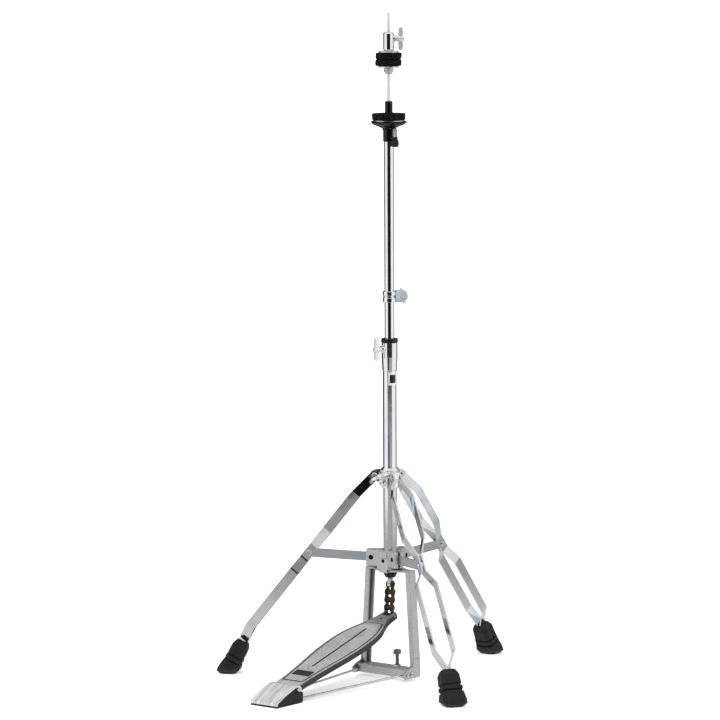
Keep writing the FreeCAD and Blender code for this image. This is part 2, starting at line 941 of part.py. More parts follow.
def make_legs():
    """Three legs: each a pair of strips, a rubber foot and two half rivets."""
    lean = 90 - size("tail_slope")
    for name, side in LEGS.items():
        top = V(size("leg_pivot_r"), 0, size("leg_pivot_z"))
        along = FreeCAD.Placement(top, FreeCAD.Rotation(V(0, 1, 0), size("leg_slope")))
        strip = leg_strip(f"strip_{name}")
        pair = group(f"leg_{name}", [strip, mirrored(strip)])
        pair.Placement = turn_to(side).multiply(along)
        rivet = link_rivet(f"rivet_{name}")
        rivets = group(f"rivets_{name}", [rivet, mirrored(rivet)])
        rivets.Placement = turn_to(side).multiply(along)
        foot = solid(f"foot_{name}_raw", foot_shape())
        ground = FreeCAD.Placement(V(foot_reach()[0], 0, 0), FreeCAD.Rotation(V(0, 1, 0), -lean))
        foot.Placement = turn_to(side).multiply(ground)
        sole = solid(f"sole_{name}", sole_shape())
        sole.Placement = turn_to(side).multiply(shifted(foot_reach()[0] - 2, 0, 0))
        standing = doc.addObject("Part::Common", f"foot_{name}")
        standing.Base = foot
        standing.Tool = sole
        export(standing, f"foot_{name}")


def make_stays():
    """Three flat stays with rounded ends, from the hub to the legs' middles."""
    half = "stay_wide / 2"
    for name, side in LEGS.items():
        stay = new_body(f"stay_{name}")
        pad(
            stay,
            "XZ_Plane",
            [
                (f"-{half}", f"-{half}"),
                (f"stay_long + {half}", f"-{half}"),
                (f"stay_long + {half}", half),
                (f"-{half}", half),
            ],
            "stay_thick",
        )
        soften(stay, size("stay_wide") / 2 - 0.05, lambda edge: runs_along(V(0, 1, 0), edge))
        drill(stay, "XZ_Plane", "0", "0", "pivot_hole_r", "20")
        drill(stay, "XZ_Plane", "stay_long", "0", "pivot_hole_r", "20")
        hub_end = V(size("stay_pivot_r"), 0, size("stay_pivot_z"))
        tilt = FreeCAD.Placement(hub_end, FreeCAD.Rotation(V(0, 1, 0), -size("stay_rise")))
        stay.Placement = turn_to(side).multiply(tilt)
        export(stay, f"stay_{name}")


# ---- hub and pedal frame ----


def hub_plan():
    """The hub's outline from above: a hexagon with a lug in the middle of every other side."""
    points = []
    for side in LEGS.values():
        for across, beside in (
            ("hub_face", "-hub_face_wide / 2"),
            ("lug_reach", "-lug_half"),
            ("lug_reach", "lug_half"),
        ):
            angle = side if across == "lug_reach" else side - 60
            beside = "hub_face_wide / 2" if across != "lug_reach" else beside
            turn = f"({angle} * 1 deg)"
            points.append(
                (
                    f"{across} * cos{turn} - ({beside}) * sin{turn}",
                    f"{across} * sin{turn} + ({beside}) * cos{turn}",
                )
            )
        turn = f"({side + 60} * 1 deg)"
        points.append(
            (
                f"hub_face * cos{turn} + hub_face_wide / 2 * sin{turn}",
                f"hub_face * sin{turn} - hub_face_wide / 2 * cos{turn}",
            )
        )
    return points


def make_hub():
    """The hub casting, its clevis pins, its set screws and the guide plug below."""
    body = new_body("hub_body")
    sketch = new_sketch(body, "XY_Plane", "hub_low")
    add_loop(sketch, hub_plan())
    feature(body, "Pad", sketch, "hub_top - hub_low", both_ways=False)
    soften(body, 1.8, lambda edge: runs_along(UP, edge))
    high = size("hub_top") - 0.01
    soften(body, 1.2, lambda edge: middle(edge).z > high)
    revolve(
        body,
        [
            ("0", "hub_boss_low"),
            ("hub_boss_r - 1", "hub_boss_low"),
            ("hub_boss_r", "hub_boss_low + 1"),
            ("hub_boss_r", "hub_low + 2"),
            ("0", "hub_low + 2"),
        ],
    )
    apron = [
        ("-hub_face_wide / 2 + 1", "hub_low - 5.6"),
        ("hub_face_wide / 2 - 1", "hub_low - 5.6"),
        ("hub_face_wide / 2 - 1", "hub_low + 6"),
        ("-hub_face_wide / 2 + 1", "hub_low + 6"),
    ]
    sketch = new_sketch(body, "XZ_Plane", "hub_face - 2.7")
    add_loop(sketch, apron)
    feature(body, "Pad", sketch, "2.7", both_ways=False)
    panel = [
        ("-hub_face_wide / 2 + 1.5", "hub_top - 12"),
        ("hub_face_wide / 2 - 1.5", "hub_top - 12"),
        ("hub_face_wide / 2 - 1.5", "hub_top - 1.6"),
        ("-hub_face_wide / 2 + 1.5", "hub_top - 1.6"),
    ]
    sketch = new_sketch(body, "XZ_Plane", "hub_face - 1")
    add_loop(sketch, panel)
    feature(body, "Pad", sketch, "1.6", both_ways=False)
    cuts = [cylinder("hub_bore", "lower_r + 0.02", "60")]
    cuts[0].Placement.Base.z = size("lower_low")
    throat = cylinder("hub_throat", "lower_bore", "30")
    throat.Placement.Base.z = size("hub_boss_low") - 5
    cuts.append(throat)
    pins = []
    screws = []
    for side in LEGS.values():
        gap = box(f"clevis_{side}", "40", "clevis_gap", "60")
        gap.Placement = turn_to(side).multiply(shifted(21.8, -size("clevis_gap") / 2, size("hub_low") - 4))
        spot = V(size("stay_pivot_r"), 0, size("stay_pivot_z"))
        through = turn_to(side).multiply(pointing(spot, V(0, -1, 0), UP))
        hole = cylinder(f"clevis_hole_{side}", "pivot_pin_r + 0.01", "40")
        hole.Placement = through.multiply(shifted(0, 0, -20))
        cuts += [gap, hole]
        for way, label in ((1, "a"), (-1, "b")):
            recess = cylinder(f"pin_recess_{label}_{side}", "3.8", "20")
            inward = pointing(spot, V(0, -way, 0), UP)
            depth = shifted(0, 0, size("lug_half") - 2.02)
            recess.Placement = turn_to(side).multiply(inward).multiply(depth)
            cuts.append(recess)
        under = box(f"under_{side}", "40", "40", "hub_rise + 4")
        under.Placement = turn_to(side).multiply(shifted(size("hub_face") + 1.5, -20, size("hub_low") - 4))
        cuts.append(under)
        pin = pivot_pin(f"hub_pin_{side}", "lug_half - 2", "3.6", "1.2")
        pin.Placement = through
        pins.append(pin)
        outward = turn_to(side - 60).multiply(
            pointing(V(0, 0, size("stay_pivot_z") - 4.5), V(1, 0, 0), UP)
        )
        tapped = cylinder(f"set_hole_{side}", "screw_r + 0.02", "40", outward)
        cuts.append(tapped)
        screw = set_screw(f"set_screw_{side}")
        screw.Placement = outward
        screws.append(screw)
    export(subtract("hub_casting", body, cuts), "hub_casting")
    group("hub_pins", pins)
    group("hub_screws", screws)
    plug = turned(
        "hub_plug",
        [
            ("rod_bore", "plug_low"),
            ("plug_tip_r - 1", "plug_low"),
            ("plug_tip_r", "plug_low + 1"),
            ("plug_r", "hub_boss_low - 3.2"),
            ("plug_r", "hub_boss_low - 0.05"),
            ("lower_bore - 0.05", "hub_boss_low - 0.05"),
            ("lower_bore - 0.05", "spring_low - 0.2"),
            ("rod_bore", "spring_low - 0.2"),
        ],
    )
    export(plug, "hub_plug")


def set_screw(name):
    """A socket set screw drawn along +Z, from the tube's wall to just under the hub's face."""
    body = tube_like_screw(name)
    sketch = new_sketch(body, "XY_Plane", "hub_face - 0.4")
    add_loop(sketch, hexagon(1.5))
    feature(body, "Pocket", sketch, "2.6", both_ways=False)
    return body


def tube_like_screw(name):
    """A plain screw body with a bevelled end."""
    return turned(
        name,
        [
            ("0", "lower_r + 0.05"),
            ("screw_r - 0.5", "lower_r + 0.05"),
            ("screw_r", "lower_r + 0.6"),
            ("screw_r", "hub_face - 0.8"),
            ("screw_r - 0.4", "hub_face - 0.4"),
            ("0", "hub_face - 0.4"),
        ],
    )


def make_frame():
    """The pedal frame: shoes, channels and top plate of one bent sheet."""
    body = new_body("pedal_frame")
    shoe = [
        ("shoe_rear", "arch_low + 2"),
        ("shoe_rear", "arch_low + 30"),
        ("-shoe_rear", "arch_low + 30"),
        ("-shoe_rear - 2", "arch_low + 19"),
        ("-shoe_front + 8", "arch_low + 14.5"),
        ("-shoe_front", "arch_low + 10"),
        ("-shoe_front", "arch_low + 2"),
        ("-shoe_front + 2", "arch_low"),
        ("shoe_rear - 2", "arch_low"),
    ]
    pad(body, "YZ_Plane", shoe, "2 * arch_half_low")
    pocket(body, "YZ_Plane", shoe, "2 * arch_half_low - 2 * sheet")
    lean = "(arch_half_low - arch_half_top) / (arch_top - arch_low - 20)"
    knee = "arch_low + 20"
    outer = [
        ("-arch_half_low", "arch_low + 1"),
        ("-arch_half_low", knee),
        ("-arch_half_top", "arch_top"),
        ("arch_half_top", "arch_top"),
        ("arch_half_low", knee),
        ("arch_half_low", "arch_low + 1"),
    ]
    inner = [
        ("arch_half_low - channel_flange", "arch_low + 1"),
        ("arch_half_low - channel_flange", knee),
        ("arch_half_top - channel_flange + sheet * " + lean, "arch_top - sheet * 1.6"),
        ("-(arch_half_top - channel_flange + sheet * " + lean + ")", "arch_top - sheet * 1.6"),
        ("-arch_half_low + channel_flange", knee),
        ("-arch_half_low + channel_flange", "arch_low + 1"),
    ]
    pad(body, "XZ_Plane", outer + inner, "channel_deep")
    hollow = [
        ("-arch_half_low + sheet", "arch_low"),
        ("-arch_half_low + sheet", knee),
        ("-arch_half_top + sheet", "arch_top - sheet * 1.6"),
        ("arch_half_top - sheet", "arch_top - sheet * 1.6"),
        ("arch_half_low - sheet", knee),
        ("arch_half_low - sheet", "arch_low"),
    ]
    pocket(body, "XZ_Plane", hollow, "channel_deep - 2 * sheet")
    sketch = new_sketch(body, "XY_Plane", "arch_top - sheet * 1.6")
    add_loop(
        sketch,
        [
            ("-31", "-channel_deep / 2"),
            ("-15", "-channel_deep"),
            ("15", "-channel_deep"),
            ("31", "-channel_deep / 2"),
            ("31", "channel_deep / 2"),
            ("15", "channel_deep"),
            ("-15", "channel_deep"),
            ("-31", "channel_deep / 2"),
        ],
    )
    feature(body, "Pad", sketch, "sheet * 1.6", both_ways=False)
    drill(body, "XY_Plane", "0", "0", "hub_boss_r + 0.05", "2 * arch_top + 40")
    drill(body, "YZ_Plane", "-eye_y", "eye_z", "radius_rod_r + 0.15", "300")
    drill(body, "YZ_Plane", "-bridge_screw_y", "bridge_screw_z", "screw_r + 0.02", "300")
    export(body, "pedal_frame")

    bridge = new_body("base_bridge")
    pad(
        bridge,
        "YZ_Plane",
        [
            ("-bridge_front", "arch_low + 1"),
            ("-bridge_front + sheet", "arch_low + 1"),
            ("-bridge_front + sheet", "bridge_top - sheet"),
            ("shoe_rear - sheet", "bridge_top - sheet"),
            ("shoe_rear - sheet", "bridge_top"),
            ("-bridge_front", "bridge_top"),
        ],
        "2 * arch_half_low - 2 * sheet - 0.1",
    )
    tab = [
        ("-bridge_front + sheet - 0.5", "arch_low + 1"),
        ("-shoe_rear - 0.6", "arch_low + 1"),
        ("-shoe_rear - 0.6", "bridge_top - 1"),
        ("-bridge_front + sheet - 0.5", "bridge_top - 1"),
    ]
    pad(bridge, "YZ_Plane", tab, "2 * arch_half_low - 2 * sheet - 0.1")
    pocket(
        bridge,
        "YZ_Plane",
        [
            ("-bridge_front + sheet", "arch_low"),
            ("-bridge_front + 17", "arch_low"),
            ("-bridge_front + 17", "bridge_top - sheet"),
            ("-bridge_front + sheet", "bridge_top - sheet"),
        ],
        "2 * arch_half_low - 4 * sheet",
    )
    for side in (-1, 1):
        notch = [
            (f"{side} * (arch_half_low - channel_flange - 1)", "-shoe_rear - 1"),
            (f"{side} * arch_half_low", "-shoe_rear - 1"),
            (f"{side} * arch_half_low", "shoe_rear"),
            (f"{side} * (arch_half_low - channel_flange - 1)", "shoe_rear"),
        ]
        sketch = new_sketch(bridge, "XY_Plane", "bridge_top + 5")
        add_loop(sketch, notch)
        feature(bridge, "Pocket", sketch, "5 + sheet + 0.2", both_ways=False)
    drill(bridge, "YZ_Plane", "-bridge_screw_y", "bridge_screw_z", "screw_r + 0.02", "300")
    drill(bridge, "XY_Plane", "anchor_x", "-anchor_y", "anchor_r + 0.06", "100")
    export(bridge, "base_bridge")
    screws = [frame_screw(side) for side in (0, 180)]
    group("frame_screws", screws)


def frame_screw(side):
    """A pan-head screw with its nut inside, holding the bridge to one shoe."""
    body = turned(
        f"frame_screw_{side}",
        [
            ("0", "arch_half_low - 2 * sheet - 4"),
            ("screw_r", "arch_half_low - 2 * sheet - 4"),
            ("screw_r", "arch_half_low + 0.02"),
            ("5", "arch_half_low + 0.02"),
            ("5", "arch_half_low + 1.2"),
            ("3.6", "arch_half_low + 2.4"),
            ("2", "arch_half_low + 2.7"),
            ("1.2", "arch_half_low + 1.2"),
            ("0", "arch_half_low + 1.2"),
        ],
    )
    nut = new_body(f"frame_nut_{side}")
    sketch = new_sketch(nut, "XY_Plane", "arch_half_low - 2 * sheet - 3.2")
    add_loop(sketch, hexagon(size("nut_half")))
    feature(nut, "Pad", sketch, "3", both_ways=False)
    both = fuse(f"frame_screw_and_nut_{side}", [body, nut])
    spot = V(0, -size("bridge_screw_y"), size("bridge_screw_z"))
    both.Placement = pointing(spot, V(math.cos(math.radians(side)), 0, 0), V(0, 1, 0))
    return both


def hexagon(across):
    """The six corners of a hexagon with this half width across its flats."""
    radius = across / math.cos(math.pi / 6)
    angles = [k * math.pi / 3 for k in range(6)]
    return [(f"{radius * math.cos(a):.4f}", f"{radius * math.sin(a):.4f}") for a in angles]


def make_anchor():
    """The spur bolt that stops the base creeping, and its nut on the bridge."""
    rings = 12
    step = 2.6
    start = 6.0
    groove = 0.45
    profile = [(0.0, 1.0), (0.8, 1.0), (size("anchor_r") - groove, start)]
    for k in range(rings):
        low = start + k * step
        profile.append((size("anchor_r"), low + step / 2))
        profile.append((size("anchor_r") - groove, low + step))
    top = start + rings * step
    profile.append((size("anchor_r") - groove, top + 1))
    profile.append((0.0, top + 1))
    wire = Part.makePolygon([V(r, 0, z) for r, z in profile + profile[:1]])
    shank = Part.Face(wire).revolve(V(0, 0, 0), UP, 360)
    head = Part.makeBox(9.5, 9.5, 7.5, V(-4.75, -4.75, top + 1))
    head = head.makeChamfer(0.8, head.Edges)
    bolt = solid("anchor_bolt", shank.fuse(head).removeSplitter())
    bolt.Placement.Base = V(size("anchor_x"), -size("anchor_y"), 2)
    export(bolt, "anchor_bolt")
    nut = new_body("anchor_nut")
    sketch = new_sketch(nut, "XY_Plane", "bridge_top + 0.02")
    add_loop(sketch, hexagon(5.5))
    feature(nut, "Pad", sketch, "4.5", both_ways=False)
    drill(nut, "XY_Plane", "0", "0", "anchor_r + 0.06", "100")
    nut.Placement.Base = V(size("anchor_x"), -size("anchor_y"), 0)
    export(nut, "anchor_nut")


# ---- yoke and chain ----


def make_yoke():
    """The forged end of the rod, with a tongue that carries the chain."""
    top = turned(
        "yoke_barrel",
        [
            ("0", "chain_top + 6.2"),
            ("4.4", "chain_top + 6.2"),
            ("4.4", "plug_low - 2"),
            ("3.8", "plug_low - 1.4"),
            ("0", "plug_low - 1.4"),
        ],
    )
    tongue = new_body("yoke_tongue")
    pad(
        tongue,
        "YZ_Plane",
        [
            ("-4.6", "chain_top - 4.8"),
            ("4.6", "chain_top - 4.8"),
            ("4.6", "chain_top + 6.6"),
            ("-4.6", "chain_top + 6.6"),
        ],
        "2 * roller_half",
    )
    floor = size("chain_top")
    soften(tongue, 4.5, lambda edge: runs_along(V(1, 0, 0), edge) and middle(edge).z < floor)
    bore = cylinder("yoke_bore", "rod_r + 0.01", "20")
    bore.Placement.Base.z = size("rod_low")
    eye = cylinder("yoke_eye", "chain_pin_r + 0.06", "40")
    eye.Placement = pointing(V(-20, 0, size("chain_top")), V(1, 0, 0), UP)
    joined = fuse("yoke_joined", [top, tongue])
    export(subtract("rod_yoke", joined, [bore, eye]), "rod_yoke")


def chain_plate(name, left, high):
    """One figure-of-eight side plate hanging below a pin."""
    pieces = []
    holes = []
    for low in (0, 1):
        end = cylinder(f"{name}_end{low}", "link_r", "plate")
        end.Placement = pointing(V(0, 0, -low * size("pitch")), V(1, 0, 0), UP)
        pieces.append(end)
        hole = cylinder(f"{name}_hole{low}", "chain_pin_r + 0.02", "20")
        hole.Placement = pointing(V(-5, 0, -low * size("pitch")), V(1, 0, 0), UP)
        holes.append(hole)
    waist = box(f"{name}_waist", "plate", "2 * link_waist", "pitch")
    waist.Placement.Base = V(0, -size("link_waist"), -size("pitch"))
    made = subtract(name, fuse(f"{name}_joined", pieces + [waist]), holes)
    made.Placement.Base = V(left, 0, high)
    return made


def chain_roller(name, high):
    """One roller between the side plates, round its pin."""
    roller = turned(
        name,
        [
            ("chain_pin_r + 0.02", "-roller_half"),
            ("roller_r - 0.4", "-roller_half"),
            ("roller_r", "-roller_half + 0.4"),
            ("roller_r", "roller_half - 0.4"),
            ("roller_r - 0.4", "roller_half"),
            ("chain_pin_r + 0.02", "roller_half"),
        ],
    )
    roller.Placement = pointing(V(0, 0, high), V(1, 0, 0), UP)
    return roller


def chain_pin(name, half, high):
    """A plain pin across the chain."""
    pin = tube_pin(name, half, "chain_pin_r")
    pin.Placement = pointing(V(0, 0, high), V(1, 0, 0), UP)
    return pin


def make_chain():
    """Four links of roller chain hanging from the yoke, leaning to the footboard's toe."""
    gap = 0.15
    inner_x = size("roller_half") + gap
    outer_x = inner_x + size("plate") + gap
    plates = []
    for link in range(4):
        near = inner_x if link % 2 == 0 else outer_x
        for side, left in (("l", -near - size("plate")), ("r", near)):
            plates.append(chain_plate(f"link_{link}{side}", left, -link * size("pitch")))
    rollers = [chain_roller(f"roller_{k}", -k * size("pitch")) for k in range(1, 5)]
    half = outer_x + size("plate") + 0.6
    pins = [chain_pin(f"chain_pin_{k}", half, -k * size("pitch")) for k in range(4)]
    toe = chain_pin("toe_pin_plain", half + 5, -4 * size("pitch"))
    lean = FreeCAD.Rotation(V(1, 0, 0), -size("chain_lean"))
    hanging = FreeCAD.Placement(V(0, 0, size("chain_top")), lean)
    groups = [
        group("chain_plates", plates),
        group("chain_rollers", rollers),
        group("chain_pins", pins),
        group("toe_pin", [toe]),
    ]
    for piece in groups:
        piece.Placement = hanging


# ---- footboard and heel ----

# Half widths of the footboard against distance from the hinge, as fractions of the hinge-to-toe length.
BOARD_EDGE = (
    (0.020, 25.0),
    (0.12, 26.5),
    (0.27, 31.0),
    (0.42, 36.5),
    (0.56, 39.0),
    (0.68, 37.5),
    (0.78, 31.0),
    (0.86, 21.5),
    (0.93, 15.6),
    (1.0, 13.6),
    (1.03, 12.6),
)


def board_outline(reach, inset, start, end):
    """A closed face of the footboard's plan between two fractions of its length, inside by an inset."""
    near = [row for row in BOARD_EDGE if start - 0.05 < row[0] < end + 0.05]
    rows = [(max(start, min(end, part)), half) for part, half in near]
    right = [V(half - inset, part * reach, 0) for part, half in rows]
    left = [V(-p.x, p.y, 0) for p in reversed(right)]
    curves = []
    for run in (right, left):
        spline = Part.BSplineCurve()
        spline.interpolate(run)
        curves.append(spline.toShape())
    front = Part.makeLine(right[-1], left[0])
    back = Part.makeLine(left[-1], right[0])
    return Part.Face(Part.Wire([curves[0], front, curves[1], back]))


def make_footboard():
    """The cast footboard: a plate with a skirt, a slotted toe and a hinge knuckle."""
    reach = toe_distance()
    top = size("board_top")
    skirt = size("board_skirt")
    whole = board_outline(reach, 0, 0.0, 1.1).extrude(V(0, 0, -skirt))
    whole.translate(V(0, 0, top))
    ends = [e for e in whole.Edges if e.BoundBox.ZLength > skirt - 0.1 and e.BoundBox.Center.y > reach]
    whole = whole.makeFillet(6, ends)
    rim = [e for e in whole.Edges if e.BoundBox.ZLength < 0.01 and e.BoundBox.Center.z > top - 0.01]
    whole = whole.makeFillet(1.4, rim)
    hollow = board_outline(reach, 3.4, 0.06, 0.93).extrude(V(0, 0, -skirt))
    hollow.translate(V(0, 0, top - size("board_sheet")))
    board = whole.cut(hollow)
    groove = panel_groove(reach, 4.2, 0.055, 0.865)
    groove.translate(V(0, 0, top))
    board = board.cut(groove)
    slot = Part.makeBox(14.6, 40, 40, V(-7.3, reach - 7.5, -20))
    board = board.cut(slot)
    pin_hole = Part.makeCylinder(size("chain_pin_r") + size("toe_play"), 60, V(-30, reach, 0), V(1, 0, 0))
    board = board.cut(pin_hole)
    long = size("hinge_gap") - 1
    knuckle = Part.makeCylinder(top - 0.3, long, V(-long / 2, 0, 0), V(1, 0, 0))
    web = Part.makeBox(long, 9, size("board_sheet"), V(-long / 2, 0, top - size("board_sheet")))
    board = board.fuse(knuckle).fuse(web)
    board = board.cut(Part.makeCylinder(size("hinge_pin_r") + 0.06, 80, V(-40, 0, 0), V(1, 0, 0)))
    dimple = Part.makeCylinder(1.8, 3, V(0, reach * 0.925, top - 1.4))
    board = board.cut(dimple)
    made = solid("footboard", board.Solids[0])
    made.Placement = hinge_placement(board_angle())
    export(made, "footboard")


def panel_groove(reach, inset, start, end):
    """A shallow channel along the footboard's edge, one down its middle and a plain recess."""
    wide = 2.2
    outer = board_outline(reach, inset, start, end)
    inner = board_outline(reach, inset + wide, start + wide / reach, end - wide / reach)
    ring = outer.extrude(V(0, 0, -0.7)).cut(inner.extrude(V(0, 0, -0.7)))
    line = Part.makeBox(3.2, reach * 0.53, 0.7, V(-1.6, reach * 0.25, -0.7))
    line = line.makeFillet(1.5, [edge for edge in line.Edges if runs_along(UP, edge)])
    pane = Part.makeBox(35, reach * 0.06, 0.7, V(-17.5, reach * 0.13, -0.7))
    return ring.fuse(line).fuse(pane)


def toe_spot():
    """Where the toe pin rests: the end of the chain, which leans a little towards the heel."""
    lean = math.radians(size("chain_lean"))
    long = 4 * size("pitch")
    return V(0, -long * math.sin(lean), size("chain_top") - long * math.cos(lean))


def toe_distance():
    """The distance from the hinge's axis to the toe pin."""
    toe = toe_spot()
    return math.hypot(toe.y + size("hinge_y"), toe.z - size("hinge_z"))


def board_angle():
    """The footboard's tilt from the floor at rest."""
    toe = toe_spot()
    return math.degrees(math.atan2(toe.z - size("hinge_z"), toe.y + size("hinge_y")))


def hinge_placement(angle):
    """A placement on the hinge's axis, tilted up from the floor by an angle."""
    pin = V(0, -size("hinge_y"), size("hinge_z"))
    return FreeCAD.Placement(pin, FreeCAD.Rotation(V(1, 0, 0), angle))


def make_heel():
    """The heel plate on its rubber block, and the hinge pin."""
    back = "-hinge_y"
    crest = "hinge_z + board_top + heel_crest"
    plate = new_body("heel_sheet_body")
    pad(
        plate,
        "YZ_Plane",
        [
            ("-heel_front", "heel_nose - heel_sheet - 3"),
            ("-heel_front", "heel_nose - 1.2"),
            ("-heel_front + 2", "heel_nose"),
            ("-heel_front + 24", "heel_nose + 11"),
            (f"{back} - 9", crest),
            (f"{back} + 1", f"{crest} - 0.6"),
            (f"{back} + 1", f"{crest} - 0.6 - heel_sheet"),
            (f"{back} - 9", f"{crest} - heel_sheet"),
            ("-heel_front + 24", "heel_nose + 11 - heel_sheet"),
            ("-heel_front + 2.4", "heel_nose - heel_sheet"),
            ("-heel_front + 2.4", "heel_nose - heel_sheet - 3"),
        ],
        "2 * heel_half",
    )
    knuckles = []
    for side, start in (("l", -size("heel_half")), ("r", size("hinge_gap") / 2)):
        knuckle = cylinder(f"heel_knuckle_{side}", "board_top", "heel_half - hinge_gap / 2")
        knuckle.Placement = pointing(V(start, -size("hinge_y"), size("hinge_z")), V(1, 0, 0), UP)
        knuckles.append(knuckle)
    joined = fuse("heel_joined", [plate] + knuckles)
    gap = box("heel_gap", "hinge_gap", "12", "20")
    gap.Placement.Base = V(-size("hinge_gap") / 2, -size("hinge_y") - 5.2, size("hinge_z") - 10)
    bore = cylinder("heel_bore", "hinge_pin_r + 0.01", "80")
    bore.Placement = pointing(V(-40, -size("hinge_y"), size("hinge_z")), V(1, 0, 0), UP)
    export(subtract("heel_plate", joined, [gap, bore]), "heel_plate")

    block = new_body("heel_block_body")
    pad(
        block,
        "YZ_Plane",
        [
            ("-heel_front + 1", "0"),
            (f"{back} + 5", "0"),
            (f"{back} + 8", "3"),
            (f"{back} + 8", "hinge_z - 6.5"),
            (f"{back} + 5", "hinge_z - 4.5"),
            (f"{back} - 9", "hinge_z - 4.5"),
            (f"{back} - 9", f"{crest} - heel_sheet - 0.05"),
            ("-heel_front + 24", "heel_nose + 11 - heel_sheet - 0.05"),
            ("-heel_front + 2.5", "heel_nose - heel_sheet - 0.05"),
            ("-heel_front + 2.5", "heel_nose - heel_sheet - 3.05"),
            ("-heel_front + 1", "heel_nose - heel_sheet - 3.05"),
        ],
        "2 * heel_half - 1",
    )
    rod_holes = []
    for side in (-1, 1):
        hole = cylinder(f"heel_rod_hole_{side}", "radius_rod_r + 0.02", "30")
        hole.Placement = pointing(V(side * 23, -size("hinge_y") - 1.9, 6.0), V(0, 1, 0), UP)
        rod_holes.append(hole)
    export(subtract("heel_block", block, rod_holes), "heel_block")
    pin = tube_pin("heel_pin", "heel_half + 0.6", "hinge_pin_r")
    pin.Placement = pointing(V(0, -size("hinge_y"), size("hinge_z")), V(1, 0, 0), UP)
    export(pin, "heel_pin")


def tube_pin(name, half, radius):
    """A pin with bevelled ends, centred on its middle."""
    return turned(
        name,
        [
            ("0", f"-({half})"),
            (f"{radius} - 0.5", f"-({half})"),
            (radius, f"-({half}) + 0.5"),
            (radius, f"{half} - 0.5"),
            (f"{radius} - 0.5", half),
            ("0", half),
        ],
    )


def make_radius_rods():
    """Two wire rods that hold the heel plate at its distance from the frame."""
    rods = []
    radius = size("radius_rod_r")
    front = -size("eye_y")
    eye = size("eye_z")
    heel_y = -size("hinge_y") - 1.8
    for side in (-1, 1):
        points = [
            V(side * 23, heel_y, 6.0),
            V(side * 23, heel_y + 14, 6.0),
            V(side * size("radius_rod_x"), front, eye),
            V(side * (size("arch_half_low") + 2.5), front, eye),
        ]
        rods.append(bent_rod(points, radius, 5.0))
    export(solid("radius_rods", Part.makeCompound(rods)), "radius_rods")


def bent_rod(points, radius, bend):
    """A round rod along a path of straight runs with rounded bends."""
    edges = []
    start = points[0]
    for before, corner, after in zip(points, points[1:], points[2:]):
        into = (corner - before).normalize()
        out = (after - corner).normalize()
        half = math.acos(max(-1.0, min(1.0, into.dot(out)))) / 2
        reach = bend * math.tan(half)
        first = corner - into * reach
        last = corner + out * reach
        heart = corner + (out - into).normalize() * (bend / math.cos(half) - bend)
        edges.append(Part.makeLine(start, first))
        edges.append(Part.Arc(first, heart, last).toShape())
        start = last
    edges.append(Part.makeLine(start, points[-1]))
    path = Part.Wire(edges)
    heading = (points[1] - points[0]).normalize()
    ring = Part.Wire([Part.makeCircle(radius, points[0], heading)])
    return path.makePipeShell([ring], True, False)


# ---- lower cymbal seat ----


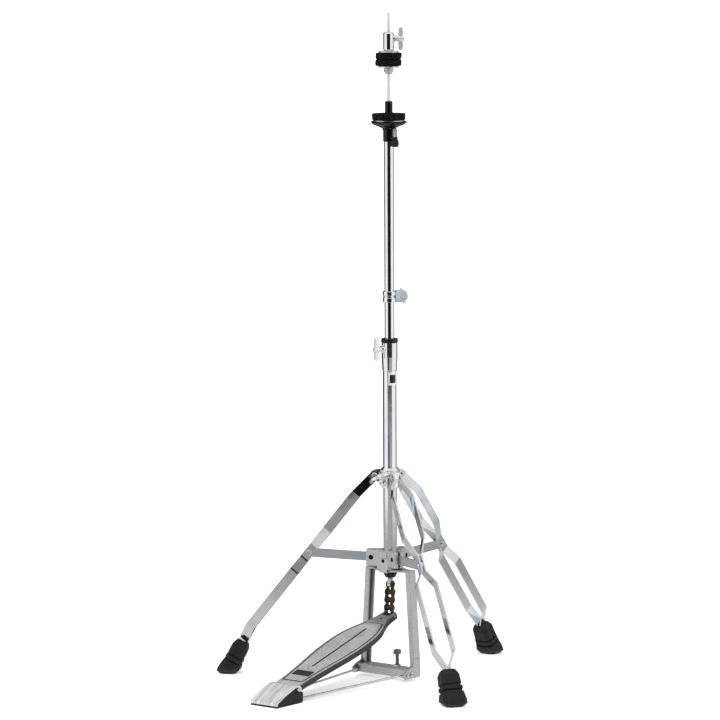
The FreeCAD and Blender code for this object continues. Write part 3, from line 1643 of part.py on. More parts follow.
def make_seat():
    """The fixed sleeve, and the tilting cup with its washer, felt and stem."""
    sleeve = turned(
        "sleeve_turned",
        [
            ("upper_r + 0.02", "sleeve_low"),
            ("sleeve_r - 0.8", "sleeve_low"),
            ("sleeve_r", "sleeve_low + 0.8"),
            ("sleeve_r", "sleeve_top - 0.8"),
            ("sleeve_r - 0.8", "sleeve_top"),
            ("rod_r + 0.4", "sleeve_top"),
            ("rod_r + 0.4", "upper_top + 0.05"),
            ("upper_r + 0.02", "upper_top + 0.05"),
        ],
    )
    arm = new_body("tilt_arm")
    sketch = new_sketch(arm, "XY_Plane", "tilt_lug_low")
    add_loop(
        sketch,
        [
            ("8.3", "-4.4"),
            ("tilt_r + 4.4", "-4.4"),
            ("tilt_r + 4.4", "4.4"),
            ("8.3", "4.4"),
        ],
    )
    feature(arm, "Pad", sketch, "tilt_lug_thick", both_ways=False)
    soften(arm, 4.3, lambda edge: runs_along(UP, edge) and middle(edge).x > 12)
    drill(arm, "XY_Plane", "tilt_r", "0", "tilt_screw_r + 0.06", "2 * sleeve_top + 20")
    arm.Placement = turn_to(TILT_SIDE)
    ears = [trunnion_ear(f"ear_{way}", way) for way in (-1, 1)]
    export(fuse("seat_sleeve", [sleeve, arm] + ears), "seat_sleeve")

    cup = turned(
        "cup_turned",
        [
            ("stem_low_r + 0.02", "cup_low"),
            ("cup_neck_r", "cup_low"),
            ("cup_neck_r + 4.5", "cup_high - 8.3"),
            ("cup_r - 4.8", "cup_high - 6"),
            ("cup_r - 0.8", "cup_high - 3"),
            ("cup_r", "cup_high - 2"),
            ("cup_r", "cup_high - 0.6"),
            ("cup_r - 0.6", "cup_high"),
            ("stem_low_r + 0.02", "cup_high"),
        ],
    )
    slots = []
    trunnions = []
    for way in (-1, 1):
        slot = box(f"ear_slot_{way}", "9.6", "3.8", "seat_axis_z + 3.8 - cup_low + 5")
        middle_y = way * TRUNNION_OUT
        corner = V(-4.8, middle_y - 1.9, size("cup_low") - 5)
        slot.Placement = turn_to(TILT_SIDE).multiply(shifted(corner.x, corner.y, corner.z))
        slots.append(slot)
        pin = cylinder(f"trunnion_{way}", "trunnion_r", "4.8")
        start = V(0, middle_y - 2.4, size("seat_axis_z"))
        pin.Placement = turn_to(TILT_SIDE).multiply(pointing(start, V(0, 1, 0), UP))
        trunnions.append(pin)
    hollowed = subtract("cup_hollowed", cup, slots)
    export(fuse("seat_cup", [hollowed] + trunnions), "seat_cup")
    bore = "stem_low_r + 0.05"
    washer = tube("seat_washer", "seat_felt_r - 1.4", bore, "cup_high + 0.1", "cup_high + 1.9")
    export(washer, "seat_washer")
    felt = turned(
        "seat_felt",
        [
            ("stem_low_r + 0.15", "seat_felt_low"),
            ("seat_felt_r - 1.2", "seat_felt_low"),
            ("seat_felt_r", "seat_felt_low + 1.6"),
            ("seat_felt_r - 0.5", "seat_felt_top - 1.8"),
            ("seat_felt_r - 2", "seat_felt_top"),
            ("stem_low_r + 1", "seat_felt_top"),
            ("stem_low_r + 0.15", "seat_felt_top - 0.6"),
        ],
    )
    export(felt, "seat_felt")
    stem = turned(
        "seat_stem",
        [
            ("stem_bore", "cup_low + 0.4"),
            ("stem_low_r", "cup_low + 0.4"),
            ("stem_low_r", "seat_felt_top + 0.1"),
            ("stem_r", "seat_felt_top + 0.1"),
            ("stem_r", "stem_top - 1.2"),
            ("stem_r - 0.8", "stem_top"),
            ("stem_bore", "stem_top"),
        ],
    )
    export(stem, "seat_stem")


def trunnion_ear(name, way):
    """An ear on the sleeve, round one of the cup's two trunnions."""
    ear = new_body(name)
    sketch = new_sketch(ear, "XZ_Plane")
    add_loop(
        sketch,
        [
            ("-3.4", "sleeve_top - 2"),
            ("3.4", "sleeve_top - 2"),
            ("3.4", "seat_axis_z + 3.4"),
            ("-3.4", "seat_axis_z + 3.4"),
        ],
    )
    feature(ear, "Pad", sketch, "2.6")
    top = size("seat_axis_z")
    soften(ear, 3.3, lambda edge: runs_along(V(0, 1, 0), edge) and middle(edge).z > top)
    drill(ear, "XZ_Plane", "0", "seat_axis_z", "trunnion_r + 0.06", "20")
    ear.Placement = turn_to(TILT_SIDE).multiply(shifted(0, way * TRUNNION_OUT, 0))
    return ear


def make_tilt_screw():
    """The screw that tips the cup, its ribbed knob and its spring."""
    screw = turned(
        "tilt_screw",
        [
            ("0", "knob_low + 1"),
            ("tilt_screw_r", "knob_low + 1"),
            ("tilt_screw_r", "sleeve_top + 0.6"),
            ("tilt_screw_r - 1", "sleeve_top + 1.6"),
            ("0", "sleeve_top + 1.6"),
        ],
    )
    spot = turn_to(TILT_SIDE).multVec(V(size("tilt_r"), 0, 0))
    screw.Placement.Base = spot
    export(screw, "tilt_screw")
    knob = turned(
        "tilt_knob",
        [
            ("0", "knob_low"),
            ("knob_r - 2.2", "knob_low"),
            ("knob_r - 0.5", "knob_low + 1.3"),
            ("knob_r", "knob_low + 3"),
            ("knob_r", "knob_top - 3"),
            ("knob_r - 0.6", "knob_top - 1.2"),
            ("knob_r - 2", "knob_top"),
            ("tilt_screw_r + 0.01", "knob_top"),
            ("tilt_screw_r + 0.01", "knob_low + 0.98"),
            ("0", "knob_low + 0.98"),
        ],
    )
    ribs(knob, "knob_low - 1", "knob_r", "knob_top - knob_low + 2", 18)
    knob.Placement.Base = spot
    export(knob, "tilt_knob")
    low = size("tilt_lug_low") + size("tilt_lug_thick") + 0.1
    spring = coil("tilt_spring", 3.3, 0.5, low, size("cup_low") - 0.2, 9)
    spring.Placement = shifted(*spot).multiply(spring.Placement)
    export(spring, "tilt_spring")


def ribs(body, low, radius, length, count):
    """Grooves round a turned piece's rim, evenly spaced."""
    sketch = new_sketch(body, "XY_Plane", low)
    add_circle(sketch, f"{radius} + 0.15", "0", "0.55")
    cut = feature(body, "Pocket", sketch, length, both_ways=False, backward=True)
    doc.recompute()
    around = body.newObject("PartDesign::PolarPattern", "PolarPattern")
    around.Originals = [cut]
    axis = next(f for f in body.Origin.OriginFeatures if f.Role == "Z_Axis")
    around.Axis = (axis, [""])
    around.Angle = 360
    around.Occurrences = count
    body.Tip = around


# ---- clutch ----


def make_clutch():
    """The clutch body, its threaded tube, washers, felts, nut and wing screw."""
    body = turned(
        "clutch_turned",
        [
            ("rod_bore", "clutch_low + 12"),
            ("clutch_tube_r + 0.02", "clutch_low + 12"),
            ("clutch_tube_r + 0.02", "clutch_low"),
            ("clutch_r - 1.6", "clutch_low"),
            ("clutch_r", "clutch_low + 2.4"),
            ("clutch_r", "clutch_top - 2.2"),
            ("clutch_r - 2.2", "clutch_top"),
            ("rod_bore", "clutch_top"),
        ],
    )
    out = turn_to(CLUTCH_SCREW_SIDE).multiply(
        pointing(V(0, 0, size("clutch_screw_z")), V(1, 0, 0), UP)
    )
    boss = turned(
        "clutch_boss",
        [
            ("0", "rod_bore + 1"),
            ("5.4", "rod_bore + 1"),
            ("5.2", "clutch_r + 1.6"),
            ("4.4", "clutch_r + 2.4"),
            ("0", "clutch_r + 2.4"),
        ],
    )
    boss.Placement = out
    hole = cylinder("clutch_screw_hole", "screw_hole_r", "30", out)
    core = cylinder("clutch_core", "rod_bore", "60")
    core.Placement.Base.z = size("clutch_low") - 10
    joined = fuse("clutch_joined", [body, boss])
    export(subtract("clutch_body", joined, [core, hole]), "clutch_body")

    screw = wing_screw("clutch_wing_screw", "clutch_r + 2.6 - rod_r", "3.9")
    screw.Placement = turn_to(CLUTCH_SCREW_SIDE).multiply(
        pointing(V(size("rod_r") + 0.1, 0, size("clutch_screw_z")), V(1, 0, 0), UP)
    )
    export(screw, "clutch_wing_screw")

    inner = tube("clutch_tube", "clutch_tube_r", "rod_bore", "nut_low + 1", "clutch_low + 11.9")
    export(inner, "clutch_tube")
    top_low = "clutch_low - washer_thick - 0.1"
    felt_top = "clutch_low - washer_thick - 0.3"
    upper = felt_ring("clutch_felt_upper", f"{felt_top} - felt_thick")
    lower = felt_ring("clutch_felt_lower", f"{felt_top} - felt_gap - 2 * felt_thick")
    export(upper, "clutch_felt_upper")
    export(lower, "clutch_felt_lower")
    low_washer = f"{felt_top} - felt_gap - 2 * felt_thick - 0.2 - washer_thick"
    washers = [
        tube(name, "washer_r", "clutch_tube_r + 0.1", low, f"{low} + washer_thick", "0.3")
        for name, low in (("washer_upper", top_low), ("washer_lower", low_washer))
    ]
    group("clutch_washers", washers)

    nut = turned(
        "clutch_nut",
        [
            ("clutch_tube_r + 0.05", "nut_low"),
            ("nut_r - 2.6", "nut_low"),
            ("nut_r - 2", "nut_low + 1"),
            ("nut_r", "nut_low + 3.4"),
            ("nut_r", "nut_low + nut_high - 0.8"),
            ("nut_r - 0.8", "nut_low + nut_high"),
            ("clutch_tube_r + 0.05", "nut_low + nut_high"),
        ],
    )
    ribs(nut, "nut_low - 1", "nut_r", "nut_high + 2", 20)
    export(nut, "clutch_nut")


def felt_ring(name, low):
    """A thick felt ring with softened rims."""
    return turned(
        name,
        [
            ("felt_bore", low),
            ("felt_r - 1.4", low),
            ("felt_r", f"{low} + 1.8"),
            ("felt_r", f"{low} + felt_thick - 1.8"),
            ("felt_r - 1.4", f"{low} + felt_thick"),
            ("felt_bore", f"{low} + felt_thick"),
        ],
    )


# ---- the whole stand ----


def check_and_write():
    """Stops on any failed object or bad shape, then writes each sub-part's STEP file."""
    doc.recompute()
    failed = [o.Name for o in doc.Objects if {"Invalid", "Error"} & set(o.State)]
    if failed:
        raise RuntimeError(f"objects that failed: {failed}")
    for part in exported:
        if part.Shape.isNull() or not part.Shape.isValid() or not part.Shape.Solids:
            raise RuntimeError(f"{part.Label} has no valid solid")
    labels = [part.Label for part in exported]
    if len(set(labels)) != len(labels) or len(labels) > 60:
        raise RuntimeError("sub-part labels repeat, or there are too many")
    os.makedirs(FOLDER, exist_ok=True)
    for part in exported:
        part.Shape.exportStep(f"{FOLDER}/{part.Label}.step")


def main():
    fill_sheet()
    make_tubes()
    make_rods()
    make_return_spring()
    make_socket()
    make_memory_lock()
    make_collar()
    make_legs()
    make_stays()
    make_hub()
    make_frame()
    make_anchor()
    make_yoke()
    make_chain()
    make_footboard()
    make_heel()
    make_radius_rods()
    make_seat()
    make_tilt_screw()
    make_clutch()
    check_and_write()
    print(len(exported), "sub-parts")


main()
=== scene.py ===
import json
import math

import bmesh
import bpy
from mathutils import Matrix, Vector, noise


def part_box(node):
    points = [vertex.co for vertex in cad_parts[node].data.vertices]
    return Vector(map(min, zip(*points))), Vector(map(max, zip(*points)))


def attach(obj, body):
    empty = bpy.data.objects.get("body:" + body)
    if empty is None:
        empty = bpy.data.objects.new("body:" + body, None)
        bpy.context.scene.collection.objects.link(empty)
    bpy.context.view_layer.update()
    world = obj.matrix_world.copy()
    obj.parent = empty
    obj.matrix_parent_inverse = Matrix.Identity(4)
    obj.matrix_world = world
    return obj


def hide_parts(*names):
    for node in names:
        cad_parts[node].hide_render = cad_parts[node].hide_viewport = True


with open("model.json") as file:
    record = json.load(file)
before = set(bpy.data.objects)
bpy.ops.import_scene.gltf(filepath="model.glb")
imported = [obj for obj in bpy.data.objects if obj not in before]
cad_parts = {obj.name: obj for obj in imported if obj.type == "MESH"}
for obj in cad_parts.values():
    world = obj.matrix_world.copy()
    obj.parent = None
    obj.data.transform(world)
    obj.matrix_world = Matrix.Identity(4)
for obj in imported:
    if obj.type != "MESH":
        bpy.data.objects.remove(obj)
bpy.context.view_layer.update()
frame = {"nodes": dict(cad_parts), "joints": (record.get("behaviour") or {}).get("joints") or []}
NODES = frame["nodes"]
JOINTS = {joint["name"]: joint for joint in frame["joints"]}

MM = 0.001
UP = Vector((0, 0, 1))

# The camera: which way it lies from the stand, how high it sits and how far off it is.
CAMERA_AZIMUTH = math.radians(38.5)
CAMERA_ELEVATION = math.radians(6.7)
CAMERA_DISTANCE = 7.14
CAMERA_LENS = 223.0
CAMERA_ROLL = math.radians(0.24)
AIM_SIDE = -0.0474
AIM_HEIGHT = 0.5145

TOWARDS_CAMERA = Vector((math.sin(CAMERA_AZIMUTH), -math.cos(CAMERA_AZIMUTH), 0))
CAMERA_RIGHT = Vector((math.cos(CAMERA_AZIMUTH), math.sin(CAMERA_AZIMUTH), 0))


# ---- building node trees ----

class Tree:
    """Adds shader nodes to a tree and joins them."""

    def __init__(self, tree):
        self.tree = tree

    def add(self, kind, inputs=None, **settings):
        """Adds a node, sets its properties, then sets or links its inputs by name or number."""
        node = self.tree.nodes.new("ShaderNode" + kind)
        for name, value in settings.items():
            setattr(node, name, value)
        for name, value in (inputs or {}).items():
            self.put(node, name, value)
        return node

    def put(self, node, name, value):
        """Sets one input of a node to a value, or links it to another node's output."""
        if isinstance(value, bpy.types.NodeSocket):
            self.tree.links.new(value, node.inputs[name])
        else:
            node.inputs[name].default_value = value

    def math(self, operation, *values):
        """A Math node's result."""
        node = self.add("Math", dict(enumerate(values)), operation=operation)
        return node.outputs[0]

    def dot(self, vector, direction):
        """How far a vector reaches along a direction."""
        node = self.add("VectorMath", {0: vector, 1: direction}, operation="DOT_PRODUCT")
        return node.outputs["Value"]

    def remap(self, value, low, high, to_low=0.0, to_high=1.0):
        """A value carried smoothly from one range to another, and held at its ends."""
        inputs = {"Value": value, "From Min": low, "From Max": high, "To Min": to_low, "To Max": to_high}
        return self.add("MapRange", inputs, interpolation_type="SMOOTHSTEP").outputs[0]

    def blend(self, share, first, second):
        """Two colours mixed by a share."""
        node = self.add("Mix", data_type="RGBA")
        self.put(node, 0, share)
        self.put(node, 6, first)
        self.put(node, 7, second)
        return node.outputs[2]

    def noise(self, place, scale, detail=4.0, stretch=None):
        """Soft noise, stretched along the axes if asked."""
        if stretch:
            place = self.add("Mapping", {"Vector": place, "Scale": stretch}).outputs[0]
        node = self.add("TexNoise", {"Vector": place, "Scale": scale, "Detail": detail})
        return node.outputs[0]

    def ramp(self, value, stops, kind="LINEAR"):
        """A colour ramp through (position, grey) stops."""
        node = self.add("ValToRGB", {0: value})
        ramp = node.color_ramp
        ramp.interpolation = kind
        for position, level in stops[2:]:
            ramp.elements.new(position)
        for element, (position, level) in zip(ramp.elements, stops):
            element.position = position
            element.color = (level, level, level, 1)
        return node.outputs[0]


class Finish(Tree):
    """A surface finish: a principled material with rounded edges, on which each finish builds."""

    def __init__(self, name, edge=0.4 * MM):
        self.material = bpy.data.materials.new(name)
        self.material.use_nodes = True
        super().__init__(self.material.node_tree)
        self.surface = self.tree.nodes["Principled BSDF"]
        self.place = self.add("TexCoord").outputs["Object"]
        self.normal = self.add("NewGeometry").outputs["Normal"]
        self.round = self.add("Bevel", {"Radius": edge}, samples=4).outputs[0]

    def edges(self, start=0.015, full=0.12):
        """Where the surface turns sharply: 1 on an edge, 0 on the flat."""
        likeness = self.add("VectorMath", {0: self.round, 1: self.normal}, operation="DOT_PRODUCT")
        turn = self.math("SUBTRACT", 1.0, likeness.outputs["Value"])
        return self.remap(turn, start, full)

    def open_air(self, reach):
        """How open the surface is within a short reach: 1 out in the open, less in corners and grooves."""
        return self.add("AmbientOcclusion", {"Distance": reach}, samples=8).outputs["AO"]

    def bump(self, height, depth, strength=1.0):
        """Adds relief, depth deep where height is 1, over the rounded edges."""
        inputs = {"Height": height, "Distance": depth, "Strength": strength, "Normal": self.round}
        self.put(self.surface, "Normal", self.add("Bump", inputs).outputs[0])

    def set(self, **inputs):
        """Sets inputs of the surface: underscores stand for spaces."""
        for name, value in inputs.items():
            self.put(self.surface, name.replace("_", " "), value)


def grey(value, warm=0.0):
    """A grey, slightly warm or, below 0, slightly blue."""
    return (value * (1 + warm), value, value * (1 - warm), 1)


# ---- the footboard's own directions ----

def board_frame():
    """The board's hinge and toe pin, and its directions: hinge to toe, sideways, and out of its top."""
    hinge = Vector(JOINTS["pedal_press"]["pos_m"])
    toe_low, toe_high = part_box("toe_pin")
    toe = (toe_low + toe_high) / 2
    along = (toe - hinge).normalized()
    across = Vector((1, 0, 0))
    return hinge, toe, along, across, across.cross(along)


def board_top_height():
    """How far the footboard's top lies above the line from its hinge to the toe pin."""
    hinge, _, _, _, facing = board_frame()
    return max((v.co - hinge).dot(facing) for v in NODES["footboard"].data.vertices)


BOARD_TOP = board_top_height()


# ---- finishes ----

def chrome(name, tone=0.86, rough=0.045, ripple=0.06):
    """Bright chrome plate: faint waves from the metal below and a film of handling marks."""
    f = Finish(name, edge=0.5 * MM)
    marks = f.noise(f.place, 38, 6)
    streaks = f.noise(f.place, 90, 3, stretch=(1, 1, 0.12))
    film = f.math("MULTIPLY", f.remap(marks, 0.45, 0.75), streaks)
    f.set(
        Metallic=1.0,
        Base_Color=f.blend(f.remap(marks, 0.3, 0.8), grey(tone, -0.012), grey(tone * 0.93, -0.02)),
        Roughness=f.math("ADD", rough, f.math("MULTIPLY", film, 0.10)),
    )
    f.bump(f.noise(f.place, 55, 2), ripple * MM)
    return f.material


def strip_chrome(name):
    """Chrome on rolled strip: long waves in its reflections, and a painted highlight along its edges."""
    f = Finish(name, edge=0.6 * MM)
    marks = f.noise(f.place, 30, 5)
    waves = f.noise(f.place, 26, 2)
    flat = f.blend(f.remap(marks, 0.3, 0.8), grey(0.74, -0.02), grey(0.62, -0.03))
    # Base colour: the edges turn near white, a painted highlight along them.
    f.set(
        Metallic=1.0,
        Base_Color=f.blend(f.edges(), flat, grey(0.92)),
        Roughness=f.remap(marks, 0.35, 0.8, 0.06, 0.15),
    )
    f.bump(waves, 0.25 * MM)
    return f.material


def wing_plate(name, tone=0.78, shade=0.06):
    """Thick bright plate on small castings: almost white, with painted shade along its edges."""
    f = Finish(name, edge=0.9 * MM)
    marks = f.noise(f.place, 120, 5)
    flat = f.blend(f.remap(marks, 0.35, 0.75), grey(tone), grey(tone * 0.86, -0.02))
    # Base colour: painted shade along the edges, in the grey given as shade.
    f.set(
        Metallic=0.6,
        Base_Color=f.blend(f.edges(0.03, 0.25), flat, grey(shade)),
        Roughness=f.remap(marks, 0.3, 0.8, 0.12, 0.26),
    )
    f.bump(marks, 0.05 * MM)
    return f.material


def lock_plate(name):
    """The memory lock: bright round the tube, blue-grey satin on its ear."""
    f = Finish(name, edge=0.8 * MM)
    marks = f.noise(f.place, 90, 5)
    out = f.add("Mapping", {"Vector": f.place, "Scale": (1, 1, 0)}).outputs[0]
    radius = f.add("VectorMath", {0: out}, operation="LENGTH").outputs["Value"]
    ring_radius = 11.5 * MM
    ear = f.math("GREATER_THAN", radius, ring_radius)
    satin_blue = f.blend(f.remap(marks, 0.3, 0.7), (0.50, 0.55, 0.60, 1), (0.66, 0.70, 0.74, 1))
    skin = f.blend(ear, grey(0.84), satin_blue)
    # Base colour: the edges are darkened to a blue-grey of 0.07, painted shade along them.
    f.set(
        Metallic=f.math("SUBTRACT", 1.0, f.math("MULTIPLY", ear, 0.5)),
        Base_Color=f.blend(f.edges(0.04, 0.3), skin, grey(0.07, -0.05)),
        Roughness=f.math("MULTIPLY_ADD", ear, 0.24, 0.08),
    )
    f.bump(marks, 0.08 * MM)
    return f.material


def cast(name, light=0.74, dark=0.55):
    """A tumbled die casting: grey pebbled skin with darker specks, and painted shade in its corners and
    along its edges.
    """
    f = Finish(name, edge=1.0 * MM)
    skin = f.noise(f.place, 420, 6)
    blotch = f.noise(f.place, 60, 4)
    specks = f.remap(skin, 0.50, 0.66)
    tone = f.blend(blotch, grey(light, -0.01), grey(light * 0.9, -0.005))
    flat = f.blend(f.math("MULTIPLY", specks, 0.7), tone, grey(dark, -0.005))
    # Painted shade: near black in corners and grooves found by ambient occlusion, and along the edges.
    corner = f.remap(f.open_air(7 * MM), 0.45, 0.92, 0.9, 0.0)
    painted_shade_mask = f.math("MAXIMUM", corner, f.edges(0.03, 0.3))
    f.set(
        Metallic=0.5,
        Base_Color=f.blend(painted_shade_mask, flat, grey(dark * 0.2)),
        Roughness=f.math("ADD", 0.34, f.math("MULTIPLY", skin, 0.2)),
    )
    f.bump(skin, 0.14 * MM)
    return f.material


def board_metal(name):
    """The footboard's brushed casting: grain from heel to toe, black grooves, edges darkened to near black,
    and painted shade on its sides.
    """
    f = Finish(name, edge=1.5 * MM)
    hinge, toe, along, across, facing = board_frame()
    from_hinge = f.add("VectorMath", {0: f.place, 1: hinge}, operation="SUBTRACT").outputs[0]
    height = f.dot(from_hinge, facing)
    local = f.add("CombineXYZ", {0: f.dot(from_hinge, across), 1: f.dot(from_hinge, along), 2: height})
    least_groove, deepest_groove = 0.35 * MM, 1.2 * MM
    sunk = f.math("LESS_THAN", height, BOARD_TOP - least_groove)
    shallow = f.math("GREATER_THAN", height, BOARD_TOP - deepest_groove)
    upward = f.math("GREATER_THAN", f.dot(f.normal, facing), 0.7)
    filled = f.math("MULTIPLY", f.math("MULTIPLY", sunk, shallow), upward)
    # The side faces are painted near black: painted shade on the board's sides.
    flank = f.math("LESS_THAN", f.dot(f.normal, facing), 0.45)
    brushed = f.noise(local.outputs[0], 300, 5, stretch=(1, 0.12, 1))
    grain = f.noise(local.outputs[0], 340, 4)
    blotch = f.noise(local.outputs[0], 26, 5)
    bare = f.blend(f.remap(blotch, 0.3, 0.75), grey(0.66, -0.01), grey(0.50, -0.02))
    speckled = f.blend(f.math("MULTIPLY", f.remap(grain, 0.48, 0.64), 0.5), bare, grey(0.28))
    reach = (toe - hinge).length
    neck = f.remap(f.dot(from_hinge, along), reach * 0.80, reach * 0.90, 0.0, 0.62)
    toned = f.blend(neck, speckled, grey(0.16))
    # The edges are darkened to near black.
    edged = f.blend(f.math("MULTIPLY", f.edges(0.004, 0.05), 0.97), toned, grey(0.008))
    # dark joins the black grooves and the painted shade on the sides.
    dark = f.math("MAXIMUM", filled, f.math("MULTIPLY", flank, 0.97))
    f.set(
        Metallic=f.math("MULTIPLY", f.math("SUBTRACT", 1.0, dark), 0.55),
        Base_Color=f.blend(dark, edged, grey(0.010)),
        Roughness=f.math("ADD", 0.30, f.math("MULTIPLY", brushed, 0.16)),
        Specular_IOR_Level=0.35,
    )
    f.bump(brushed, 0.06 * MM)
    return f.material


def heel_metal(name):
    """The heel plate: bright brushed sheet with long scratches, heel to toe."""
    f = Finish(name, edge=0.7 * MM)
    scratches = f.noise(f.place, 520, 6, stretch=(1, 0.035, 0.035))
    wide = f.noise(f.place, 170, 3, stretch=(1, 0.10, 0.10))
    flat = f.blend(f.remap(scratches, 0.40, 0.64), grey(0.78), grey(0.44))
    f.set(
        Metallic=0.5,
        Base_Color=f.blend(f.math("MULTIPLY", f.remap(wide, 0.5, 0.7), 0.35), flat, grey(0.40)),
        Roughness=f.math("ADD", 0.30, f.math("MULTIPLY", scratches, 0.2)),
    )
    f.bump(scratches, 0.05 * MM)
    return f.material


def plain_steel(name, tone=0.66, rough=0.2):
    """Zinc-plated steel: a fine drawn grain, slightly blue."""
    f = Finish(name, edge=0.25 * MM)
    grain = f.noise(f.place, 700, 3)
    stain = f.noise(f.place, 60, 5)
    f.set(
        Metallic=1.0,
        Base_Color=f.blend(f.remap(stain, 0.35, 0.8), grey(tone, -0.015), grey(tone * 0.75, 0.02)),
        Roughness=f.math("ADD", rough, f.math("MULTIPLY", grain, 0.12)),
    )
    f.bump(grain, 0.03 * MM)
    return f.material


def threaded(name, tone=0.42, pitch=1.6 * MM):
    """A zinc-plated bolt whose thread runs up it in fine rings, with painted shade in the roots."""
    f = Finish(name, edge=0.25 * MM)
    turns = f.math("MULTIPLY", f.dot(f.place, UP), 2 * math.pi / pitch)
    crest = f.math("MULTIPLY_ADD", f.math("SINE", turns), 0.5, 0.5)
    grain = f.noise(f.place, 500, 3)
    flat = f.blend(f.math("MULTIPLY", grain, 0.5), grey(tone), grey(tone * 0.6))
    # Base colour: the thread's roots are near black, painted shade in them.
    f.set(
        Metallic=0.8,
        Base_Color=f.blend(crest, grey(0.03), flat),
        Roughness=f.math("ADD", 0.26, f.math("MULTIPLY", grain, 0.15)),
    )
    f.bump(crest, 0.5 * MM)
    return f.material


def bright_rod(name, tone=0.72):
    """The pull rod's ground steel: pale, even and slightly soft."""
    f = Finish(name, edge=0.25 * MM)
    grain = f.noise(f.place, 600, 4)
    rubs = f.noise(f.place, 80, 4, stretch=(1, 1, 0.3))
    f.set(
        Metallic=0.4,
        Base_Color=f.blend(f.remap(rubs, 0.4, 0.8), grey(tone, -0.01), grey(tone * 0.8)),
        Roughness=f.math("ADD", 0.30, f.math("MULTIPLY", grain, 0.15)),
    )
    f.bump(grain, 0.03 * MM)
    return f.material


def chain_steel(name):
    """Oiled chain: dark bronze, with the plates' edges scuffed bright."""
    f = Finish(name, edge=0.35 * MM)
    oil = f.noise(f.place, 160, 5)
    body = f.blend(f.remap(oil, 0.35, 0.7), (0.030, 0.021, 0.016, 1), (0.105, 0.068, 0.045, 1))
    f.set(
        Metallic=0.9,
        Base_Color=f.blend(f.math("MULTIPLY", f.edges(), 0.55), body, (0.42, 0.33, 0.26, 1)),
        Roughness=f.remap(oil, 0.3, 0.75, 0.22, 0.5),
    )
    f.bump(oil, 0.05 * MM)
    return f.material


def black_plastic(name, tone=0.012, rough=0.35, grain=0.04, shine=0.4):
    """Moulded black plastic: a fine moulded texture, greyer where edges are scuffed."""
    f = Finish(name, edge=0.5 * MM)
    skin = f.noise(f.place, 520, 3)
    scuffs = f.noise(f.place, 70, 6)
    edged = f.math("MULTIPLY", f.edges(0.02, 0.2), 0.5)
    f.set(
        Base_Color=f.blend(edged, grey(tone), grey(tone * 4 + 0.012)),
        Roughness=f.remap(scuffs, 0.35, 0.75, rough - 0.07, rough + 0.12),
        Specular_IOR_Level=shine,
    )
    f.bump(skin, grain * MM)
    return f.material


def rubber(name, tone=0.011, dust_and_highlight=0.040):
    """Moulded rubber: matt and pored, dusted pale low down, with a painted highlight on its outer edges and
    painted shade in its grooves.
    """
    f = Finish(name, edge=0.7 * MM)
    pores = f.noise(f.place, 650, 4)
    cloud = f.noise(f.place, 75, 6)
    height = f.dot(f.place, UP)
    low = f.remap(height, 0.0, 14 * MM, 1.0, 0.25)
    caught = f.math("MULTIPLY", f.remap(cloud, 0.45, 0.8), low)
    air = f.open_air(5 * MM)
    # corners marks the open outer edges, which get a painted highlight in a paler grey than the dust.
    corners = f.math("MULTIPLY", f.edges(0.02, 0.25), f.remap(air, 0.80, 0.98))
    skin = f.blend(f.math("MULTIPLY", caught, 0.8), grey(tone), grey(dust_and_highlight, 0.03))
    skin_with_edge_highlight = f.blend(f.math("MULTIPLY", corners, 0.9), skin, grey(dust_and_highlight * 2.6))
    # Base colour: near black where the surface is closed in, painted shade in the grooves and recesses.
    f.set(
        Base_Color=f.blend(f.remap(air, 0.55, 0.90, 1.0, 0.0), skin_with_edge_highlight, grey(0.001)),
        Roughness=f.remap(cloud, 0.3, 0.8, 0.45, 0.7),
        Specular_IOR_Level=0.22,
    )
    f.bump(pores, 0.10 * MM)
    return f.material


def felt_wool(name):
    """Pressed black wool: matted fibres, a faint sheen and specks of paler hair."""
    f = Finish(name, edge=0.3 * MM)
    mat = f.noise(f.place, 1500, 6)
    cloud = f.noise(f.place, 170, 5)
    hairs = f.add("TexVoronoi", {"Vector": f.place, "Scale": 900.0}, feature="DISTANCE_TO_EDGE").outputs[0]
    tufts = f.noise(f.place, 420, 3)
    speck = f.math("MULTIPLY", f.remap(mat, 0.60, 0.74), f.remap(tufts, 0.48, 0.62))
    wool = f.blend(cloud, grey(0.0015), (0.006, 0.005, 0.007, 1))
    f.set(
        Base_Color=f.blend(speck, wool, grey(0.34, -0.06)),
        Roughness=0.95,
        Specular_IOR_Level=0.08,
        Sheen_Weight=0.03,
        Sheen_Roughness=0.5,
        Sheen_Tint=grey(0.6, -0.05),
    )
    relief = f.math("ADD", mat, f.math("MULTIPLY", f.remap(hairs, 0.0, 0.3), 0.5))
    f.bump(relief, 0.5 * MM)
    return f.material


def sticker(name, box):
    """A plain foil sticker: silver, with a plain dark panel inside its border."""
    f = Finish(name, edge=0.1 * MM)
    low, high = box
    height = f.remap(f.dot(f.place, UP), low, high)
    height.node.interpolation_type = "LINEAR"
    panel = f.ramp(height, [(0.0, 0.0), (0.16, 1.0), (0.80, 0.0)], "CONSTANT")
    start, end = label_arc()
    turn = f.math("ARCTAN2", f.dot(f.place, Vector((0, 1, 0))), f.dot(f.place, Vector((1, 0, 0))))
    inset = (end - start) * 0.16
    after = f.math("GREATER_THAN", turn, start + inset)
    before = f.math("LESS_THAN", turn, end - inset)
    panel = f.math("MULTIPLY", panel, f.math("MULTIPLY", after, before))
    f.set(
        Metallic=0.4,
        Base_Color=f.blend(panel, grey(0.78), grey(0.012)),
        Roughness=f.math("ADD", 0.25, f.math("MULTIPLY", f.noise(f.place, 500, 3), 0.15)),
    )
    f.bump(f.noise(f.place, 200, 3), 0.03 * MM)
    return f.material


def label_arc():
    """The angles round the tube between which the sticker lies."""
    start = CAMERA_AZIMUTH - math.pi / 2 - math.radians(12)
    return start, start + math.radians(78)


# ---- which nodes wear which finish ----

def wear(material, *names):
    """Puts a material on CAD nodes."""
    for name in names:
        node = NODES[name]
        if not node.material_slots:
            node.data.materials.append(material)
        for place in node.material_slots:
            place.link = "OBJECT"
            place.material = material


